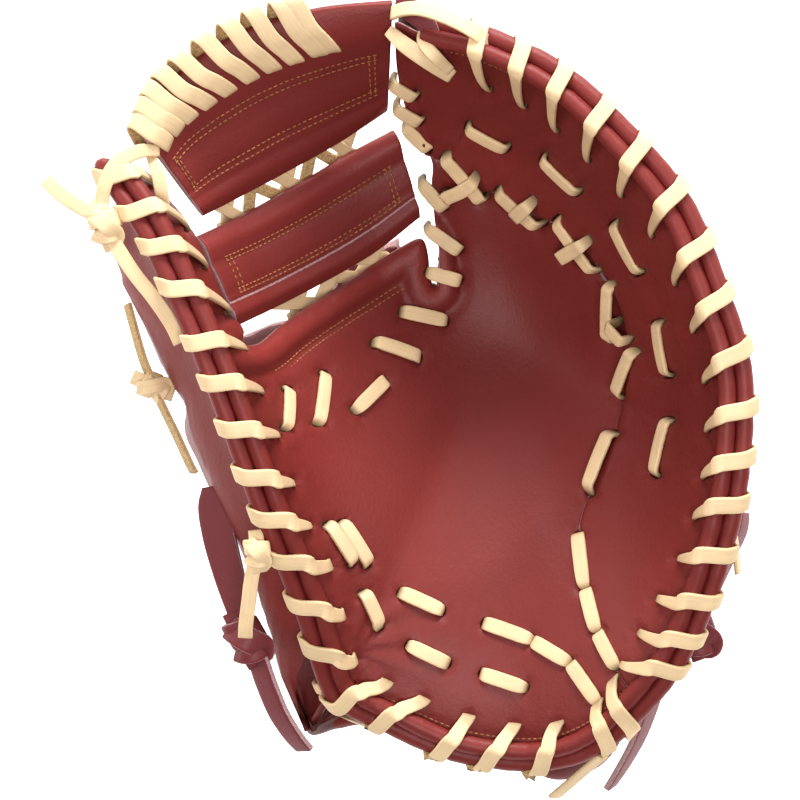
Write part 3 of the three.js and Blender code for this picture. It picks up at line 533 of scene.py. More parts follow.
def leather_finish(name, colour, pale, grain):
    """Full-grain leather: mottled dye, pores and fine creases, a raw pale cut edge, and painted
    shade that darkens it almost to black in punched holes and on the back's inner face.
    """
    f = Finish(name)
    place = f.place()
    cloud = f.noise(place, 16, 3)
    patch = f.noise(place, 75, 4, 0.6)
    pores = f.cells(place, 1500)
    pebbles = f.cells(place, 620, "SMOOTH_F1")
    creases = f.noise(f.place((1.0, 0.45, 1.0)), 420, 4, 0.62, 1.6)
    mottled = f.sharpened(cloud * 0.7 + patch * 0.3, 0.32, 0.68)
    dye = f.mixed(mottled, tint(colour, 0.8), tint(colour, 1.13))
    dye = f.mixed(f.sharpened(creases, 0.35, 0.6) * 0.28, tint(colour, 1.0), dye)
    dye = f.mixed(f.attribute("wear").at_most(1.0) * 0.55, dye, tint(colour, 1.7))
    # painted shade: the colour is drawn almost to black where the painted-shade attribute is set,
    # standing in for shadow in holes and inside the mitt
    dye = f.mixed(f.attribute("shade").at_most(1.0), dye, tint(colour, 0.06))
    fibres = f.noise(f.place((1.0, 1.0, 0.4)), 2400, 2)
    cut = f.mixed(f.sharpened(fibres, 0.3, 0.7), tint(pale, 0.62), tint(pale, 1.1))
    raw = f.sharpened(f.attribute("raw") + (fibres - 0.5) * 0.5, 0.35, 0.6)
    surface = f.mixed(raw, dye, cut)
    roughness = 0.4 + patch * 0.14 + raw * 0.4 + pores * 0.05
    height = (
        pores.at_most(0.7) * (0.34 * grain) + pebbles * (0.5 * grain)
        + creases * (0.62 * grain) + patch * 0.5 + fibres * raw * 0.6
    )
    return f.finished(surface, roughness, height, 0.00016, 0.3)


def rawhide_finish(name, colour, flesh):
    """Laces: a smooth cream face with faint streaks along them, a rougher tan flesh side, and
    painted shade that darkens them where they dive into holes and where they lie behind the web's
    bars.
    """
    f = Finish(name)
    along = f.node("ShaderNodeUVMap", {"uv_map": "along"}).outputs[0]
    stretched = f.node("ShaderNodeMapping", {}, {"Vector": along, "Scale": (40, 900, 1)})
    streaks = f.noise(stretched.outputs[0], 1.0, 4, 0.6)
    place = f.place()
    cloud = f.noise(place, 60, 3)
    grain = f.noise(place, 1500, 3, 0.6)
    tone = f.sharpened(cloud * 0.6 + streaks * 0.4, 0.3, 0.7)
    face = f.mixed(tone, tint(colour, 0.86), tint(colour, 1.08))
    under = f.mixed(f.sharpened(grain, 0.35, 0.65), tint(flesh, 0.6), tint(flesh, 1.15))
    rough_side = f.sharpened(f.attribute("flesh") + (grain - 0.5) * 0.3, 0.3, 0.62)
    surface = f.mixed(rough_side, face, under)
    # painted shade: darker where the lace goes into a hole or lies behind a bar
    surface = f.mixed(f.attribute("shade").at_most(1.0), surface, tint(flesh, 0.25))
    roughness = 0.52 + cloud * 0.12 + rough_side * 0.3
    height = streaks * 0.7 + grain * (0.35 + rough_side * 1.6) + cloud * 0.3
    return f.finished(surface, roughness, height, 0.00014, 0.35)


def thread_finish(name, colour):
    """Twisted waxed thread."""
    f = Finish(name)
    place = f.place()
    twist = f.noise(place, 1800, 2, 0.6)
    tone = f.noise(place, 160, 2)
    mask = f.sharpened(twist * 0.6 + tone * 0.4, 0.35, 0.65)
    surface = f.mixed(mask, tint(colour, 0.55), tint(colour, 1.15))
    return f.finished(surface, 0.5 + twist * 0.2, twist, 0.0001, 0.4)


def floor_finish():
    """A pale studio floor with the faintest unevenness."""
    f = Finish("studio_floor")
    place = f.place()
    cloud = f.noise(place, 3, 2)
    surface = f.mixed(cloud, (0.86, 0.86, 0.87, 1), (0.9, 0.9, 0.9, 1))
    f.shader.inputs["Emission Color"].default_value = (1, 1, 1, 1)
    f.shader.inputs["Emission Strength"].default_value = 0.75
    return f.finished(surface, 0.7 + cloud * 0.1, f.noise(place, 300, 2), 0.00002)


MATERIALS = {}


def material(kind):
    """Each finish is made once, from the colours in the panel."""
    looks = bpy.context.scene.mitt_looks
    if kind not in MATERIALS:
        raw, grain = looks.raw_edge, looks.grain
        rolled_dye = tint(looks.leather, 1.06)
        make, *values = {
            "leather": (leather_finish, "mahogany_leather", looks.leather, raw, grain),
            "roll": (leather_finish, "roll_leather", rolled_dye, raw, grain * 0.7),
            "thong": (leather_finish, "thong_leather", looks.thong, raw, grain),
            "lace": (rawhide_finish, "cream_rawhide", looks.lace, looks.flesh_side),
            "thread": (thread_finish, "tan_thread", looks.thread),
        }[kind]
        MATERIALS[kind] = make(*values)
    return MATERIALS[kind]


# --- Meshes ---


def new_object(name, points, faces, finish, attributes=(), uv=None):
    """A smooth mesh object from plan points in millimetres, with values stored at its points."""
    mesh = bpy.data.meshes.new(name)
    mesh.from_pydata(metres(points).tolist(), [], [list(map(int, face)) for face in faces])
    mesh.update()
    for key, values in dict(attributes).items():
        made = mesh.attributes.new(key, "FLOAT", "POINT")
        made.data.foreach_set("value", np.asarray(values, np.float32))
    if uv is not None:
        layer = mesh.uv_layers.new(name="along")
        corners = np.zeros(len(mesh.loops), int)
        mesh.loops.foreach_get("vertex_index", corners)
        layer.data.foreach_set("uv", np.asarray(uv, np.float32)[corners].ravel())
    mesh.polygons.foreach_set("use_smooth", [True] * len(mesh.polygons))
    mesh.materials.append(material(finish))
    made = bpy.data.objects.new(name, mesh)
    bpy.context.scene.collection.objects.link(made)
    return made


def part_of(obj, slot, *nodes):
    """The piece rides on the mitt and stands for its solids; slot is not used."""
    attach(obj, "root")
    if nodes:
        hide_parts(*nodes)
    return obj


class Sheaf:
    """Points and faces of several pieces that become one mesh."""

    def __init__(self):
        self.points, self.faces, self.uv, self.values = [], [], [], {}
        self.count = 0

    def add(self, points, faces, uv, **values):
        self.points.append(points)
        self.faces.append(np.asarray(faces) + self.count)
        self.uv.append(uv)
        for key, value in values.items():
            self.values.setdefault(key, []).append(np.broadcast_to(value, len(points)))
        self.count += len(points)

    def object(self, name, finish):
        attributes = {key: np.concatenate(value) for key, value in self.values.items()}
        faces = [f[:3] if f[2] == f[3] else f for block in self.faces for f in block.tolist()]
        return new_object(
            name, np.vstack(self.points), faces, finish, attributes, np.vstack(self.uv)
        )


def lofted(rings, sheaf, uv_along, uv_across, **values):
    """Closed rings, one after another, with both ends closed by a fan."""
    count, sides = rings.shape[:2]
    points = np.vstack([rings.reshape(-1, 3), rings[0].mean(0)[None], rings[-1].mean(0)[None]])
    i, j = np.arange(count - 1)[:, None], np.arange(sides)[None]
    a, b = i * sides + j, i * sides + (j + 1) % sides
    quads = np.stack([a, b, b + sides, a + sides], -1).reshape(-1, 4)
    first, last, far = count * sides, count * sides + 1, (count - 1) * sides
    k = np.arange(sides)
    near_end = np.stack([(k + 1) % sides, k, k * 0 + first, k * 0 + first], -1)
    far_end = np.stack([far + k, far + (k + 1) % sides, k * 0 + last, k * 0 + last], -1)
    uv = np.stack(np.broadcast_arrays(uv_along[:, None], uv_across[None]), -1).reshape(-1, 2)
    spread = {
        key: np.concatenate([np.broadcast_to(value, (count, sides)).ravel(), [0, 0]])
        for key, value in values.items()
    }
    sheaf.add(
        points, np.vstack([quads, near_end, far_end]),
        np.vstack([uv, [[uv_along[0], 0.5], [uv_along[-1], 0.5]]]), **spread,
    )


def ribbon(sheaf, path, sides, width, thickness, step=0.9, shade=0.0):
    """A flat lace along a path: sides point along its width, and the face that looks along path x
    side is the smooth one. Widths, thicknesses and painted shade may vary from point to point."""
    path = np.asarray(path, float)
    columns = [np.broadcast_to(value, len(path))[:, None] for value in (width, thickness, shade)]
    rows = curved(np.hstack([path, sides, *columns]), max(4, int(length_of(path) / step)))
    centre, side = rows[:, :3], rows[:, 3:6]
    along = unit(np.gradient(centre, axis=0))
    side = unit(side - along * (side * along).sum(-1, keepdims=True))
    face = np.cross(along, side)
    profile = band_profile()
    across = profile[None, :, 0, None] * rows[:, 6, None, None] / 2
    through_it = profile[None, :, 1, None] * rows[:, 7, None, None] / 2
    rings = centre[:, None] + side[:, None] * across + face[:, None] * through_it
    under = np.clip(-profile[:, 1] * 1.6, 0, 1)
    edge = np.clip(np.abs(profile[:, 0]) * 8 - 7.2, 0, 1)
    uv_across = profile[:, 0] * 0.0028 + np.where(profile[:, 1] < 0, 0.01, 0)
    lofted(
        rings, sheaf, run_along(centre) * 0.001, uv_across,
        flesh=under[None], shade=rows[:, 8][:, None], raw=edge[None], wear=0.0,
    )
    return centre


def band_profile(sides=16):
    """A flat section with rounded corners and a slightly domed face, as shares of half sizes."""
    angle = (np.arange(sides) + 0.5) * 2 * np.pi / sides
    c, s = np.cos(angle), np.sin(angle)
    return np.stack([np.sign(c) * np.abs(c) ** 0.3, np.sign(s) * np.abs(s) ** 0.43], -1)


def distance_to(points, line):
    """The distance from plan points to a line, and the share along it of the nearest place."""
    best = np.full(len(points), 1e9)
    where = np.zeros(len(points))
    lengths = np.linalg.norm(np.diff(line, axis=0), axis=1)
    total = np.concatenate([[0], np.cumsum(lengths)])
    for i, (a, b) in enumerate(zip(line[:-1], line[1:])):
        d = b - a
        f = np.clip(((points - a) @ d) / max(d @ d, 1e-12), 0, 1)
        away = np.linalg.norm(points - a - f[:, None] * d, axis=1)
        closer = away < best
        best[closer] = away[closer]
        where[closer] = (total[i] + f[closer] * lengths[i]) / total[-1]
    return best, where


def parallel(line, distance):
    way = unit(np.gradient(line, axis=0))
    return line + np.stack([-way[:, 1], way[:, 0]], -1) * np.asarray(distance, float).reshape(-1, 1)


# --- Lines in plan millimetres ---

DISC = palm(np.full(720, REACH), np.linspace(0, STATIONS, 721)[:-1])[:, :2]
THUMB_LINE = spaced(curved(plan(THUMB_SIDE), 60), 1.4)
TOP_LINE = spaced(curved(plan(PALM_TOP), 160), 1.2)
INDEX_LINE = spaced(curved(plan(INDEX_SIDE), 160), 1.4)
SEAM_LINE = spaced(curved(plan(FINGER_SEAM), 300), 1.4)
WINDOW_LOOP = np.vstack([THUMB_LINE, TOP_LINE, INDEX_LINE, plan(WINDOW_FAR)])
TOP_INNER = TOP_LINE[place_over(TOP_LINE)[0] < 0.8]
THUMB_FLAP = palm(np.full(90, 0.8), np.linspace(0.1, place_over(TOP_INNER)[1][0], 91)[:-1])[:, :2]
BACK_WINDOW = np.vstack([spaced(THUMB_FLAP, 1.6), TOP_INNER, INDEX_LINE, plan(WINDOW_FAR)])
FINGER_LOOP = np.vstack([SEAM_LINE, plan(FINGER_FAR)])


def seam_opening(share):
    """How far the pocket's edge stands back from the finger leather's, in millimetres."""
    open_at = [(0.085, 0.035, 2.6), (0.19, 0.03, 4.2), (0.335, 0.03, 3.6), (0.43, 0.025, 2.0)]
    return 0.25 + sum(size * np.exp(-(((share - at) / wide) ** 2)) for at, wide, size in open_at)


SEAM_SHARE = np.linspace(0, 1, len(SEAM_LINE))
POCKET_SIDE = parallel(SEAM_LINE, -seam_opening(SEAM_SHARE))
POCKET_LOOP = np.vstack([POCKET_SIDE, plan(FINGER_FAR)])


def lace_holes():
    """Where the leather is punched on the palm: plan place, way of the lace, and size."""
    rows = []
    for group in (
        SEAM_STITCHES, SEAM_CROSSINGS, CHAIN_STITCHES, WEB_SIDE_STITCHES, FINGER_TIES, PALM_TIES,
        THUMB_TIES, HEEL_TIES,
    ):
        for a, b, c, d in group:
            ends = plan([(a, b), (c, d)])
            way = unit(ends[1] - ends[0])
            rows += [(*ends[0], *way, 0.8), (*ends[1], *way, 0.8)]
    for u, t, _ in THUMB_WINDINGS + HEEL_WINDINGS + FINGER_WINDINGS:
        spot = palm(t, u)
        way = unit(palm(t + 0.02, u)[:2] - spot[:2])
        rows.append((*spot[:2], *way, 0.4))
    return np.array(rows)


HOLES = lace_holes()
HOLE_HALF = (1.9, 3.0)


def hole_field(points):
    """How far each plan point is from the nearest punched hole, in shares of its half sizes."""
    best = np.full(len(points), 99.0)
    for x, y, wx, wy, size in HOLES:
        d = points - (x, y)
        near = np.abs(d).max(1) < 12
        along = d[near] @ (wx, wy) / (HOLE_HALF[0] * size)
        across = d[near] @ (-wy, wx) / (HOLE_HALF[1] * size)
        best[near] = np.minimum(best[near], np.hypot(along, across))
    return best


def ripple(points, scale, seed):
    """Smooth unevenness between -1 and 1 from a few seeded waves."""
    r = np.random.default_rng(seed)
    total = np.zeros(len(points))
    for _ in range(7):
        way = unit(r.normal(size=3)) * scale * r.uniform(0.6, 1.5)
        total += np.sin(points @ way + r.uniform(0, 6.28))
    return total / 4.5


# --- Leather panels ---


def lattice(spacing, low, high):
    xs = np.arange(low[0], high[0], spacing)
    ys = np.arange(low[1], high[1], spacing * 0.866)
    grid = np.stack(np.meshgrid(xs, ys), -1)
    grid[1::2, :, 0] += spacing / 2
    return grid.reshape(-1, 2)


def triangulated(loops, lines, spacing, seeds=(), cuts=()):
    """Triangles over the plan that keep to the loops and cuts, and which loops each lies in."""
    low, high = DISC.min(0) - 2, DISC.max(0) + 2
    field = lattice(spacing, low, high)
    for line in [*(np.vstack([loop, loop[:1]]) for loop in loops), *lines, *cuts]:
        away, _ = distance_to(field, line)
        field = field[away > spacing * 0.45]
    if len(seeds):
        away = np.full(len(field), 1e9)
        for seed in HOLES[:, :2]:
            away = np.minimum(away, np.abs(field - seed).max(1))
        field = field[away > 3.4]
    inside_disc = place_over(field)[0] < REACH + 0.02
    points = np.vstack([field[inside_disc], *lines, *([seeds] if len(seeds) else [])])
    start, faces, edges = len(points), [], []
    for cut in cuts:
        edges += [(start + i, start + i + 1) for i in range(len(cut) - 1)]
        start += len(cut)
    for loop in loops:
        faces.append(list(range(start, start + len(loop))))
        start += len(loop)
    points = np.vstack([points, *cuts, *loops])
    vertices, _, triangles, _, _, members = geometry.delaunay_2d_cdt(
        [Vector(p) for p in points.tolist()], edges, faces, 0, 1e-5
    )
    return np.array([v[:] for v in vertices]), np.array(triangles), members


def largest(triangles, count):
    """The triangles of the largest connected piece."""
    label = np.arange(count)
    while True:
        low = label[triangles].min(1)
        before = label.copy()
        for k in range(3):
            np.minimum.at(label, triangles[:, k], low)
        label = label[label]
        if (label == before).all():
            break
    group = label[triangles[:, 0]]
    names, sizes = np.unique(group, return_counts=True)
    return triangles[group == names[sizes.argmax()]]


def sides_of(triangles):
    return np.vstack([triangles[:, [0, 1]], triangles[:, [1, 2]], triangles[:, [2, 0]]])


def outline_of(triangles):
    edges = sides_of(triangles)
    key = np.sort(edges, axis=1)
    _, first, counts = np.unique(key, axis=0, return_index=True, return_counts=True)
    return edges[first[counts == 1]]


def distance_to_outline(points, edges):
    best = np.full(len(points), 1e9)
    for a, b in zip(points[edges[:, 0]], points[edges[:, 1]]):
        d = b - a
        near = np.abs(points - a).max(1) < 24
        p = points[near]
        f = np.clip(((p - a) @ d) / max(d @ d, 1e-12), 0, 1)
        best[near] = np.minimum(best[near], np.linalg.norm(p - a - f[:, None] * d, axis=1))
    return best


def eased(values, ties, free, steps):
    """Values drawn towards the mean of their neighbours, where they are free to move."""
    both = np.vstack([ties, ties[:, ::-1]])
    count = np.bincount(both[:, 0], minlength=len(values))
    for _ in range(steps):
        sums = [np.bincount(both[:, 0], v[both[:, 1]], len(values)) for v in values.T]
        total = np.stack(sums, -1)
        values = np.where(free[:, None], 0.4 * values + 0.6 * total / count[:, None], values)
    return values


def shell(name, plan_points, triangles, surface, values):
    """A leather panel over its part of the plan, which thins and rounds off at its edges."""
    used, triangles = np.unique(triangles, return_inverse=True)
    triangles = triangles.reshape(-1, 3)
    xy = plan_points[used]
    t, u = place_over(xy)
    middle, out = surface(t, u), slope_of(surface, t, u)
    ties = np.unique(np.sort(sides_of(triangles), 1), axis=0)
    inner = distance_to_outline(xy, outline_of(triangles)) > 1.5
    middle[:, 2:] = eased(middle[:, 2:], ties, inner, 14)
    out = unit(eased(out, ties, inner, 30))
    a, b, c = (xy[triangles[:, k]] for k in range(3))
    turned = (b - a)[:, 0] * (c - a)[:, 1] < (b - a)[:, 1] * (c - a)[:, 0]
    triangles[turned] = triangles[turned][:, ::-1]
    edges = outline_of(triangles)
    away = distance_to_outline(xy, edges)
    top_half, low_half, up, extra = values(xy, t, u, middle, away)
    top = middle + out * (up + top_half)[:, None]
    low = middle + out * (up - low_half)[:, None]
    count = len(xy)
    sides = np.stack([edges[:, 1], edges[:, 0], edges[:, 0] + count, edges[:, 1] + count], -1)
    faces = triangles.tolist() + (triangles[:, ::-1] + count).tolist() + sides.tolist()
    both = {key: np.concatenate(value) for key, value in extra.items()}
    return new_object(name, np.vstack([top, low]), faces, "leather", both)


def edge_round(away, half, radius=1.1):
    f = np.clip(away / radius, 0, 1)
    return half * np.maximum(np.sqrt(1 - (1 - f) ** 2), 0.42)


def palm_values(kind):
    """The lift, thickness and wear of the palm's leathers, and the painted shade in their punched
    holes.
    """

    def values(xy, t, u, middle, away):
        seam, share = distance_to(xy, SEAM_LINE)
        fold, _ = distance_to(xy, TOP_LINE)
        holes = hole_field(xy)
        near_seam = 1 - smooth(seam, 0, 15)
        upper = 1 - smooth(share, 0.42, 0.62)
        lift = 0.35 * ripple(middle, 0.05, 3) + 0.12 * ripple(middle, 0.22, 5)
        if kind == "finger":
            lift = lift + near_seam * (0.5 + 2.0 * upper)
        else:
            lift = lift - near_seam * (0.4 + 1.3 * upper)
        lift = lift - 0.7 * np.exp(-((np.maximum(holes, 0.9) - 0.9) * 1.1) ** 2)
        top_half = edge_round(away, PALM_WALL / 2)
        low_half = top_half.copy()
        wear = 0.35 * smooth(ripple(middle, 0.06, 9), 0.1, 0.9)
        raw = np.where(away < 0.2, 1.0, 0.0) * (seam < 6)
        if kind == "pocket":
            padded = (1 - smooth(fold, 9.5, 14.5)) * smooth(np.abs(u - 15), 8, 11)
            roll = np.sqrt(np.clip(1 - ((np.clip(fold, 0, 11) - 5.5) / 5.6) ** 2, 0.02, 1))
            top_half = np.where(fold < 13, top_half * (1 - padded) + padded * roll * 3.3, top_half)
            low_half = np.where(fold < 13, low_half * (1 - padded) + padded * roll * 3.3, low_half)
            valley = np.exp(-(((fold - 13.2) / 2.6) ** 2)) * smooth(np.abs(u - 15), 8, 11)
            lift = lift - 0.9 * valley
            wear = wear + 0.8 * padded * np.exp(-(((fold - 4) / 3) ** 2))
            raw = raw * (fold > 3)
            creases = np.exp(-(((xy - plan((-0.05, -0.31))) / [22, 20]) ** 2).sum(1))
            from_root = xy - plan((-0.075, -0.33))
            angle = np.arctan2(from_root[:, 1], from_root[:, 0])
            lift = lift + creases * 0.55 * np.sin(angle * 11 + 1.3 * ripple(middle, 0.15, 12))
        # pit marks the inside of each punched hole: a dip in the leather, and painted shade that
        # darkens it almost to black
        pit = 1 - smooth(holes, 0.62, 1.02)
        rim_of_hole = np.exp(-(((holes - 1.12) / 0.16) ** 2))
        top_half = top_half - pit * 2.4
        raw = np.maximum(raw, rim_of_hole * 0.42)
        groove = np.exp(-(((t - 1.0) * WALL_LENGTH + 1.2) / 1.3) ** 2)
        top_half = top_half - 0.5 * groove
        return top_half, low_half, lift, {
            "shade": (pit, 0 * pit),
            "wear": (wear, 0 * wear),
            "raw": (raw, np.maximum(raw, 0.9)),
        }

    return values


def hole_seeds():
    """Points round each punched hole, so that the mesh is fine there."""
    rows = []
    rings = ((0.0, 1), (0.4, 6), (0.66, 12), (0.86, 16), (1.06, 20), (1.3, 20), (1.75, 16))
    for x, y, wx, wy, size in HOLES:
        for share, count in rings:
            angle = np.arange(count) * 2 * np.pi / count
            along = np.cos(angle) * share * HOLE_HALF[0] * size
            across = np.sin(angle) * share * HOLE_HALF[1] * size
            rows.append(np.stack([x + along * wx - across * wy, y + along * wy + across * wx], -1))
    made = np.vstack(rows)
    t, _ = place_over(made)
    return made[t < REACH - 0.003]


def palm_mesh(spacing):
    """The palm's plan in triangles, cut by the window and by both sides of the seam."""
    near = (-0.35, -0.9, -1.6)
    beside = (
        (SEAM_LINE, (0.35, 0.9, 1.6)), (POCKET_SIDE, near), (TOP_LINE, (-0.5, -1.1, -2, -3.2)),
        (INDEX_LINE, near), (THUMB_LINE, near),
    )
    lines = [parallel(line, away) for line, sides in beside for away in sides]
    round_it = np.linspace(0, STATIONS, 601)[:-1]
    rim_lines = [palm(np.full(600, t), round_it)[:, :2] for t in (0.985, 1.0)]
    points, triangles, members = triangulated(
        [DISC, WINDOW_LOOP, FINGER_LOOP, POCKET_LOOP], lines + rim_lines, spacing, hole_seeds()
    )
    inside = [set(m) for m in members]
    pocket = [k for k, m in enumerate(inside) if 0 in m and 1 not in m and 3 not in m]
    fingers = [k for k, m in enumerate(inside) if 0 in m and 1 not in m and 2 in m]
    return points, largest(triangles[pocket], len(points)), largest(triangles[fingers], len(points))


def within(points, loop):
    """Which plan points lie inside a closed loop."""
    inside = np.zeros(len(points), bool)
    for a, b in zip(loop, np.roll(loop, -1, 0)):
        crosses = (a[1] > points[:, 1]) != (b[1] > points[:, 1])
        where = (b[0] - a[0]) * (points[:, 1] - a[1]) / (b[1] - a[1] + 1e-12) + a[0]
        inside ^= crosses & (points[:, 0] < where)
    return inside


def back_mesh(spacing):
    """The back's three leathers, in the palm's plan."""
    opening = curved(plan(HAND_OPENING + HAND_OPENING[:1]), 130)
    strap = plan(STRAP_AREA)
    seam = plan(BACK_SEAM)
    cuts = (opening, strap[:2], strap[1:3], strap[[0, 3]], seam)
    cuts = [under_back(spaced(line, 1.6)) for line in cuts]
    points, triangles, members = triangulated([DISC, BACK_WINDOW], [], spacing, (), cuts)
    centre = back(*place_over(points[triangles].mean(1)))
    low = centre[:, 2] < 45
    leather = np.array([0 in m and 1 not in m for m in members])
    leather &= ~(low & within(centre[:, :2], opening))
    wrist = leather & within(centre[:, :2], strap) & (centre[:, 2] < 60)
    split = np.interp(centre[:, 1], seam[::-1, 1], seam[::-1, 0])
    split = np.where(centre[:, 1] > seam[0, 1], 0, split)
    thumb = leather & ~wrist & (centre[:, 0] < split)
    fingers = leather & ~wrist & ~thumb
    return points, {
        name: largest(triangles[kind], len(points))
        for name, kind in (("thumb", thumb), ("finger", fingers), ("wrist", wrist))
    }


def back_values(xy, t, u, middle, away):
    """The lift, thickness and wear of the back's leathers, and painted shade over their whole inner
    face.
    """
    waves = 0.4 * ripple(middle, 0.05, 21) + 0.12 * ripple(middle, 0.2, 22)
    lift = -waves * smooth(middle[:, 2], 2, 12)
    half = edge_round(away, BACK_WALL / 2, 1.6)
    edge = np.where(away < 0.3, 1.0, 0.0) * (t < 0.97)
    wear = 0.3 * smooth(ripple(middle, 0.05, 23), 0.1, 0.9)
    return half, half, lift, {
        # painted shade: the inner face, inside the mitt, is painted darker all over
        "shade": (np.full(len(xy), 0.45), np.zeros(len(xy))),
        "wear": (0 * wear, wear),
        "raw": (edge, edge),
    }


def make_palm():
    points, pocket, fingers = palm_mesh(1.75)
    made = shell("pocket_leather_panel", points, pocket, palm, palm_values("pocket"))
    part_of(made, "palm_leather", "pocket_leather", "palm_top_bar")
    made = shell("finger_leather_panel", points, fingers, palm, palm_values("finger"))
    part_of(made, "palm_leather", "finger_leather")


def make_back():
    points, panels = back_mesh(2.6)
    nodes = {"thumb": "thumb_back", "finger": "finger_back", "wrist": "wrist_strap"}
    for kind, node in nodes.items():
        made = shell(kind + "_back_panel", points, panels[kind], back, back_values)
        part_of(made, "back_leather", node)


# --- Rolls, by Geometry Nodes along the rim ---


class Tree:
    """A Geometry Nodes tree with named inputs."""

    def __init__(self, name, inputs):
        self.tree = bpy.data.node_groups.new(name, "GeometryNodeTree")
        add = self.tree.interface.new_socket
        add("Geometry", in_out="INPUT", socket_type="NodeSocketGeometry")
        for label, kind, default in inputs:
            made = add(label, in_out="INPUT", socket_type=kind)
            if default is not None:
                made.default_value = default
        add("Geometry", in_out="OUTPUT", socket_type="NodeSocketGeometry")
        self.start = self.tree.nodes.new("NodeGroupInput")
        self.end = self.tree.nodes.new("NodeGroupOutput")

    def node(self, kind, settings=(), sockets=()):
        node = self.tree.nodes.new(kind)
        for key, value in dict(settings).items():
            setattr(node, key, value)
        for key, value in dict(sockets).items():
            if isinstance(value, bpy.types.NodeSocket):
                self.tree.links.new(value, node.inputs[key])
            else:
                node.inputs[key].default_value = value
        return node

    def finish(self, shape):
        real = self.node("GeometryNodeRealizeInstances", {}, {"Geometry": shape})
        dressed = self.node("GeometryNodeSetMaterial", {}, {
            "Geometry": real.outputs[0], "Material": self.start.outputs["Material"],
        })
        self.tree.links.new(dressed.outputs[0], self.end.inputs[0])
        return self.tree


def grown(name, source, tree, values):
    """The object with the tree's result as a plain mesh."""
    modifier = source.modifiers.new(name, "NODES")
    modifier.node_group = tree
    for item in tree.interface.items_tree:
        if item.item_type == "SOCKET" and item.in_out == "INPUT" and item.name in values:
            modifier[item.identifier] = values[item.name]
    graph = bpy.context.evaluated_depsgraph_get()
    mesh = bpy.data.meshes.new_from_object(source.evaluated_get(graph))
    bpy.data.objects.remove(source)
    mesh.name = name
    mesh.polygons.foreach_set("use_smooth", [True] * len(mesh.polygons))
    made = bpy.data.objects.new(name, mesh)
    bpy.context.scene.collection.objects.link(made)
    return made


def line_object(name, lines, **values):
    """Edges along lines of plan points, for a tree to grow on."""
    points, edges, start = [], [], 0
    for line in lines:
        points.append(metres(line))
        edges += [(start + i, start + i + 1) for i in range(len(line) - 1)]
        start += len(line)
    mesh = bpy.data.meshes.new(name)
    mesh.from_pydata(np.vstack(points).tolist(), edges, [])
    for key, value in values.items():
        made = mesh.attributes.new(key, "FLOAT", "POINT")
        made.data.foreach_set("value", np.asarray(value, np.float32))
    made = bpy.data.objects.new(name, mesh)
    bpy.context.scene.collection.objects.link(made)
    return made


def roll_tree():
    t = Tree("rolled_welt", [
        ("Radius", "NodeSocketFloat", 0.003), ("Sides", "NodeSocketInt", 20),
        ("Material", "NodeSocketMaterial", None),
    ])
    curve = t.node("GeometryNodeMeshToCurve", {}, {"Mesh": t.start.outputs[0]})
    profile = t.node("GeometryNodeCurvePrimitiveCircle", {}, {
        "Resolution": t.start.outputs["Sides"], "Radius": t.start.outputs["Radius"],
    })
    swell = t.node("GeometryNodeInputNamedAttribute", {"data_type": "FLOAT"}, {"Name": "swell"})
    tube = t.node("GeometryNodeCurveToMesh", {}, {
        "Curve": curve.outputs[0], "Profile Curve": profile.outputs[0],
        "Scale": swell.outputs[0], "Fill Caps": True,
    })
    return t.finish(tube.outputs[0])


ROLL_TREE = []


def rolled(name, path, radius, swell, slot, *nodes):
    if not ROLL_TREE:
        ROLL_TREE.append(roll_tree())
    source = line_object(name + "_line", [path], swell=swell)
    made = grown(name, source, ROLL_TREE[0], {
        "Radius": radius * 0.001, "Sides": 22, "Material": material("roll"),
    })
    return part_of(made, slot, *nodes)


def pinched(u, windings, side):
    """The swell of a roll: drawn in a little under each lace."""
    value = 1.0 + 0.018 * np.sin(u * 9.1) + 0.012 * np.sin(u * 23.7 + 1)
    for hole, _, outer in windings:
        middle = hole + (outer - hole) * (0.4 if side < 0 else 0.66)
        value = value - 0.085 * np.exp(-(((u - middle) / 0.09) ** 2))
    return value


def make_rolls():
    u = np.linspace(ROLL_START, ROLL_END, 760)
    centre, aside = rim(u)[1], rim(u)[5]
    windings = THUMB_WINDINGS + HEEL_WINDINGS + FINGER_WINDINGS
    to_end = np.minimum(u - u[0], u[-1] - u) / 0.1
    tip = np.minimum(1, np.sqrt(np.clip(1 - (to_end - 1).clip(-1, 0) ** 2, 0.03, 1)))
    for name, side in (("palm_roll", -0.5), ("back_roll", 0.5)):
        path = centre + aside * side * ROLL_PITCH
        swell = pinched(u, windings, side) * tip
        rolled(name + "_welt", path, ROLL_RADIUS + ROLL_FILL, swell, "rim_leather", name)
    u = np.linspace(*BINDING_RUN, 200)
    edge = back(np.full(200, 0.995), u) - back_normal(np.full(200, 0.99), u) * 0.6
    edge[:, 2] = np.maximum(edge[:, 2], 3.5)
    to_end = np.minimum(u - BINDING_RUN[0], BINDING_RUN[1] - u)
    rolled("wrist_binding", edge, 3.4, np.sqrt(np.clip(to_end / 0.35, 0.05, 1)), "back_leather")


# --- Web bars ---


def bar_edges(rows, along):
    """The upper and the lower edge of a bar, a little past its ends too."""
    last = len(rows) - 1
    at = along * last
    k = np.clip(at.astype(int), 0, last - 1)
    value = through(*[rows[np.clip(k + i, 0, last)] for i in (-1, 0, 1, 2)], (at - k)[:, None])
    scale = np.array([MITT_WIDTH, MITT_LENGTH, RIM_HEIGHT])
    return value[:, :3] * scale, value[:, 3:] * scale


def bar_place(rows, along, across):
    along = np.atleast_1d(np.asarray(along, float))
    upper, lower = bar_edges(rows, along)
    after, _ = bar_edges(rows, along + 0.02)
    before, _ = bar_edges(rows, along - 0.02)
    way = unit(after - before)
    normal = -unit(np.cross(way, lower - upper))
    return upper + (lower - upper) * np.asarray(across, float).reshape(-1, 1), way, normal


